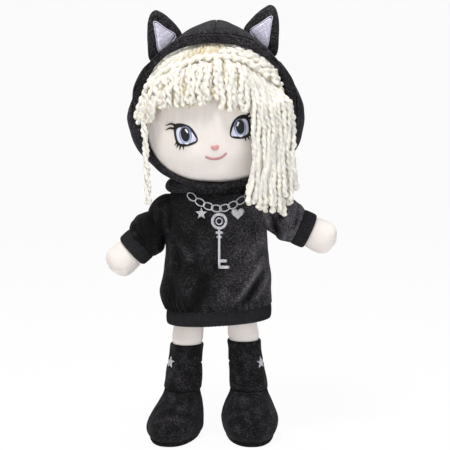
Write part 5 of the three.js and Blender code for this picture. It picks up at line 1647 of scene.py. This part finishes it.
class DOLL_OT_face(bpy.types.Operator):
    """Adds the embroidered eyes, nose and mouth"""

    bl_idname = "doll.face"
    bl_label = "Face"

    def execute(self, context):
        for side, mirror in (("right", 1), ("left", -0.95)):
            at, flip = on_face(EYE_AT[side]), np.array([mirror, 1])
            for part, outline, low, high, finish in EYE_PADS:
                nodes = [f"{side}_eye"] if part == "outline" else ()
                grid = raised(outline * flip, at, low, high)
                add_piece(f"{side}_eye_{part}", [grid], finish, "head", nodes, "eye_thread")
            for part, curves, widths, low, high, finish in EYE_LINES:
                grids = [stroke(np.array(curve) * flip, widths, at, low, high) for curve in curves]
                add_piece(f"{side}_eye_{part}", grids, finish, "head", (), "eye_thread")
        nose = raised(closed_curve(NOSE, 48), on_face(middle_of("nose")), 0.1, 1.0)
        mouth = stroke(MOUTH, MOUTH_WIDTHS, on_face(middle_of("mouth")), -0.2, 0.75, 60)
        for part, grid in (("nose", nose), ("mouth", mouth)):
            add_piece(f"{part}_stitching", [grid], part, "head", [part], "pink_thread")
        return {"FINISHED"}


class DOLL_OT_hair(bpy.types.Operator):
    """Adds the yarn hair: the sewn rows, the fringe and its tuft, the wide lock and the thin one"""

    bl_idname = "doll.hair"
    bl_label = "Hair"

    def execute(self, context):
        radius = context.scene.doll_looks.yarn_radius / MM
        for name, strands, nodes in (
            ("yarn_crown", crown_strands(radius), ["hair_crown"]),
            ("yarn_fringe", fringe_strands(radius), ["hair_fringe"]),
            ("yarn_tuft", tuft_strands(radius), []),
            ("yarn_side_lock", lock_strands(radius), ["left_side_lock"]),
            ("yarn_side_strand", side_strand(radius), ["right_side_strand"]),
        ):
            grids, tones = zip(*strands)
            add_piece(name, grids, "yarn", "head", nodes, "yarn", tones=tones)
        return {"FINISHED"}


class DOLL_OT_hood(bpy.types.Operator):
    """Adds the two halves of the hood and its folded rim"""

    bl_idname = "doll.hood"
    bl_label = "Hood"

    def execute(self, context):
        for side in SIGN:
            half = add_piece(f"hood_{side}_cloth", [hood_half(SIGN[side])], "hood", "head", [f"hood_{side}"],
                             "velvet", HOOD_WALL, wrap=False, caps=False, drop=in_neck)
        add_piece("hood_rim_cloth", [rim_band()], "hood", "head", ["hood_rim"], "velvet", caps=False)
        return {"FINISHED"}


class DOLL_OT_ears(bpy.types.Operator):
    """Adds the two stuffed ears with their silver panels"""

    bl_idname = "doll.ears"
    bl_label = "Ears"

    def execute(self, context):
        outline = closed_curve(EAR_PANEL, 96)
        middle = outline.mean(0)
        line = middle + (outline - middle) * 1.1
        for side in SIGN:
            ear = add_piece(f"{side}_ear_velvet", [ear_skin(side)], "hood", "head", [f"{side}_ear"], "velvet")
            panel = raised(outline, on_ear(side), 0.2, 0.7, 12)
            add_piece(f"{side}_ear_silver", [panel], "silver cloth", "head", [f"{side}_ear_panel"],
                      "silver_cloth")
            path = on_ear(side)(line[:, 0], line[:, 1], 0.15)
            path = np.concatenate([path, path[:1]])
            thread = tube(path, 0.4, [0.0, -1.0, 0.0], 8)
            add_piece(f"{side}_ear_stitching", [thread], "pale thread", "head", (), "silver_thread")
        return {"FINISHED"}


class DOLL_OT_dress(bpy.types.Operator):
    """Adds the dress: its panels, ribbed hem band and gathered neck"""

    bl_idname = "doll.dress"
    bl_label = "Dress"

    def execute(self, context):
        for panel in ("front", "back"):
            grid, tones = dress_panel(panel == "front")
            piece = add_piece(
                f"dress_{panel}_velvet", [grid], "velvet", "torso", [f"dress_{panel}"], "velvet", DRESS_WALL,
                wrap=False, caps=False, drop=in_armhole, tones=[tones])
        ribs = hem_band(context.scene.doll_looks.rib_spacing / MM)
        add_piece("hem_ribbing", [ribs], "rib", "torso", ["hem_band"], "rib", caps=False)
        piece = add_piece(
            "neck_gathers", [neck_band()], "velvet", None, ["neck_band"], "velvet", NECK_WALL, caps=False)
        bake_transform(piece)
        return {"FINISHED"}


class DOLL_OT_embroidery(bpy.types.Operator):
    """Adds the chain on the chest with its key, star and heart"""

    bl_idname = "doll.embroidery"
    bl_label = "Embroidery"

    def execute(self, context):
        key, bow = key_grids()
        for name, grids, nodes, caps in (
            ("silver_chain", chain_links(), ["chain_embroidery"], False),
            ("silver_key", key, ["key_embroidery"], True),
            ("silver_key_bow", bow, (), False),
            ("silver_star", [charm(star_outline(5), -14, 5)], ["star_embroidery"], True),
            ("silver_heart", [charm(heart_outline(5.2), 14.5, 5.2)], ["heart_embroidery"], True),
        ):
            add_piece(name, grids, "silver thread", "torso", nodes, "silver_thread", caps=caps)
        return {"FINISHED"}


class DOLL_OT_arms(bpy.types.Operator):
    """Adds the arms, the sleeves and their ribbed cuffs"""

    bl_idname = "doll.arms"
    bl_label = "Arms and sleeves"

    def execute(self, context):
        for side in SIGN:
            body = f"{side}_arm"
            arm = add_piece(f"{side}_arm_plush", [arm_skin(side)], "skin", body, [body], "skin")
            grid, tones = sleeve_surface(side)
            sleeve = add_piece(f"{side}_sleeve_velvet", [grid], "velvet", None, [f"{side}_sleeve"], "velvet",
                               SLEEVE_WALL, caps=False, tones=[tones])
            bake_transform(sleeve)
            ribs = cuff_loop(side, context.scene.doll_looks.rib_spacing / MM)
            add_piece(f"{side}_cuff_ribbing", [ribs], "rib", body, [f"{side}_cuff"], "rib", caps=False)
        return {"FINISHED"}


class DOLL_OT_legs(bpy.types.Operator):
    """Adds the legs and the stuffed boots"""

    bl_idname = "doll.legs"
    bl_label = "Legs and boots"

    def execute(self, context):
        for side in SIGN:
            body, boot = f"{side}_leg", f"{side}_boot"
            leg = add_piece(f"{side}_leg_plush", [leg_skin(side)], "skin", body, [body], "skin")
            add_piece(
                f"{boot}_shaft_plush", [shaft_surface(side)], "plush", body, [f"{boot}_shaft"], "velvet",
                caps=False)
            foot = add_piece(
                f"{boot}_foot_plush", [foot_skin(side)], "plush", body, [f"{boot}_foot"], "velvet")
            add_piece(f"{boot}_sole_plush", [sole_pad(side)], "plush", body, [f"{boot}_sole"], "velvet")
            add_piece(f"{boot}_welt", [sole_welt(side)], "plush", body, (), "velvet", caps=False)
            star = raised(star_outline(BOOT_STAR_SIZE), on_shaft(side), 0.1, 0.9)
            add_piece(f"{boot}_silver_star", [star], "silver thread", body, [f"{boot}_star"], "silver_thread")
        return {"FINISHED"}


class DOLL_PT_panel(bpy.types.Panel):
    """The doll's settings and steps in the sidebar"""

    bl_idname = "DOLL_PT_panel"
    bl_label = "Soft Doll"
    bl_space_type = "VIEW_3D"
    bl_region_type = "UI"
    bl_category = "Doll"

    def draw(self, context):
        for settings in (context.scene.doll_looks, context.scene.doll_stage):
            column = self.layout.column(align=True)
            for name in settings.__annotations__:
                column.prop(settings, name)
        column = self.layout.column(align=True)
        for step in STEPS:
            column.operator(step.bl_idname)


STEPS = (
    DOLL_OT_stage, DOLL_OT_torso, DOLL_OT_head, DOLL_OT_face, DOLL_OT_hair, DOLL_OT_hood, DOLL_OT_ears,
    DOLL_OT_dress, DOLL_OT_embroidery, DOLL_OT_arms, DOLL_OT_legs,
)
CLASSES = (DollLooks, DollStage, *STEPS, DOLL_PT_panel)


def register():
    """Adds the classes and the scene's settings."""
    for item in CLASSES:
        bpy.utils.register_class(item)
    bpy.types.Scene.doll_looks = bpy.props.PointerProperty(type=DollLooks)
    bpy.types.Scene.doll_stage = bpy.props.PointerProperty(type=DollStage)


def unregister():
    """Takes away what register adds."""
    del bpy.types.Scene.doll_looks
    del bpy.types.Scene.doll_stage
    for item in reversed(CLASSES):
        bpy.utils.unregister_class(item)


def main():
    register()
    for step in STEPS:
        getattr(bpy.ops.doll, step.bl_idname.split(".")[1])()


if __name__ == "__main__":
    main()
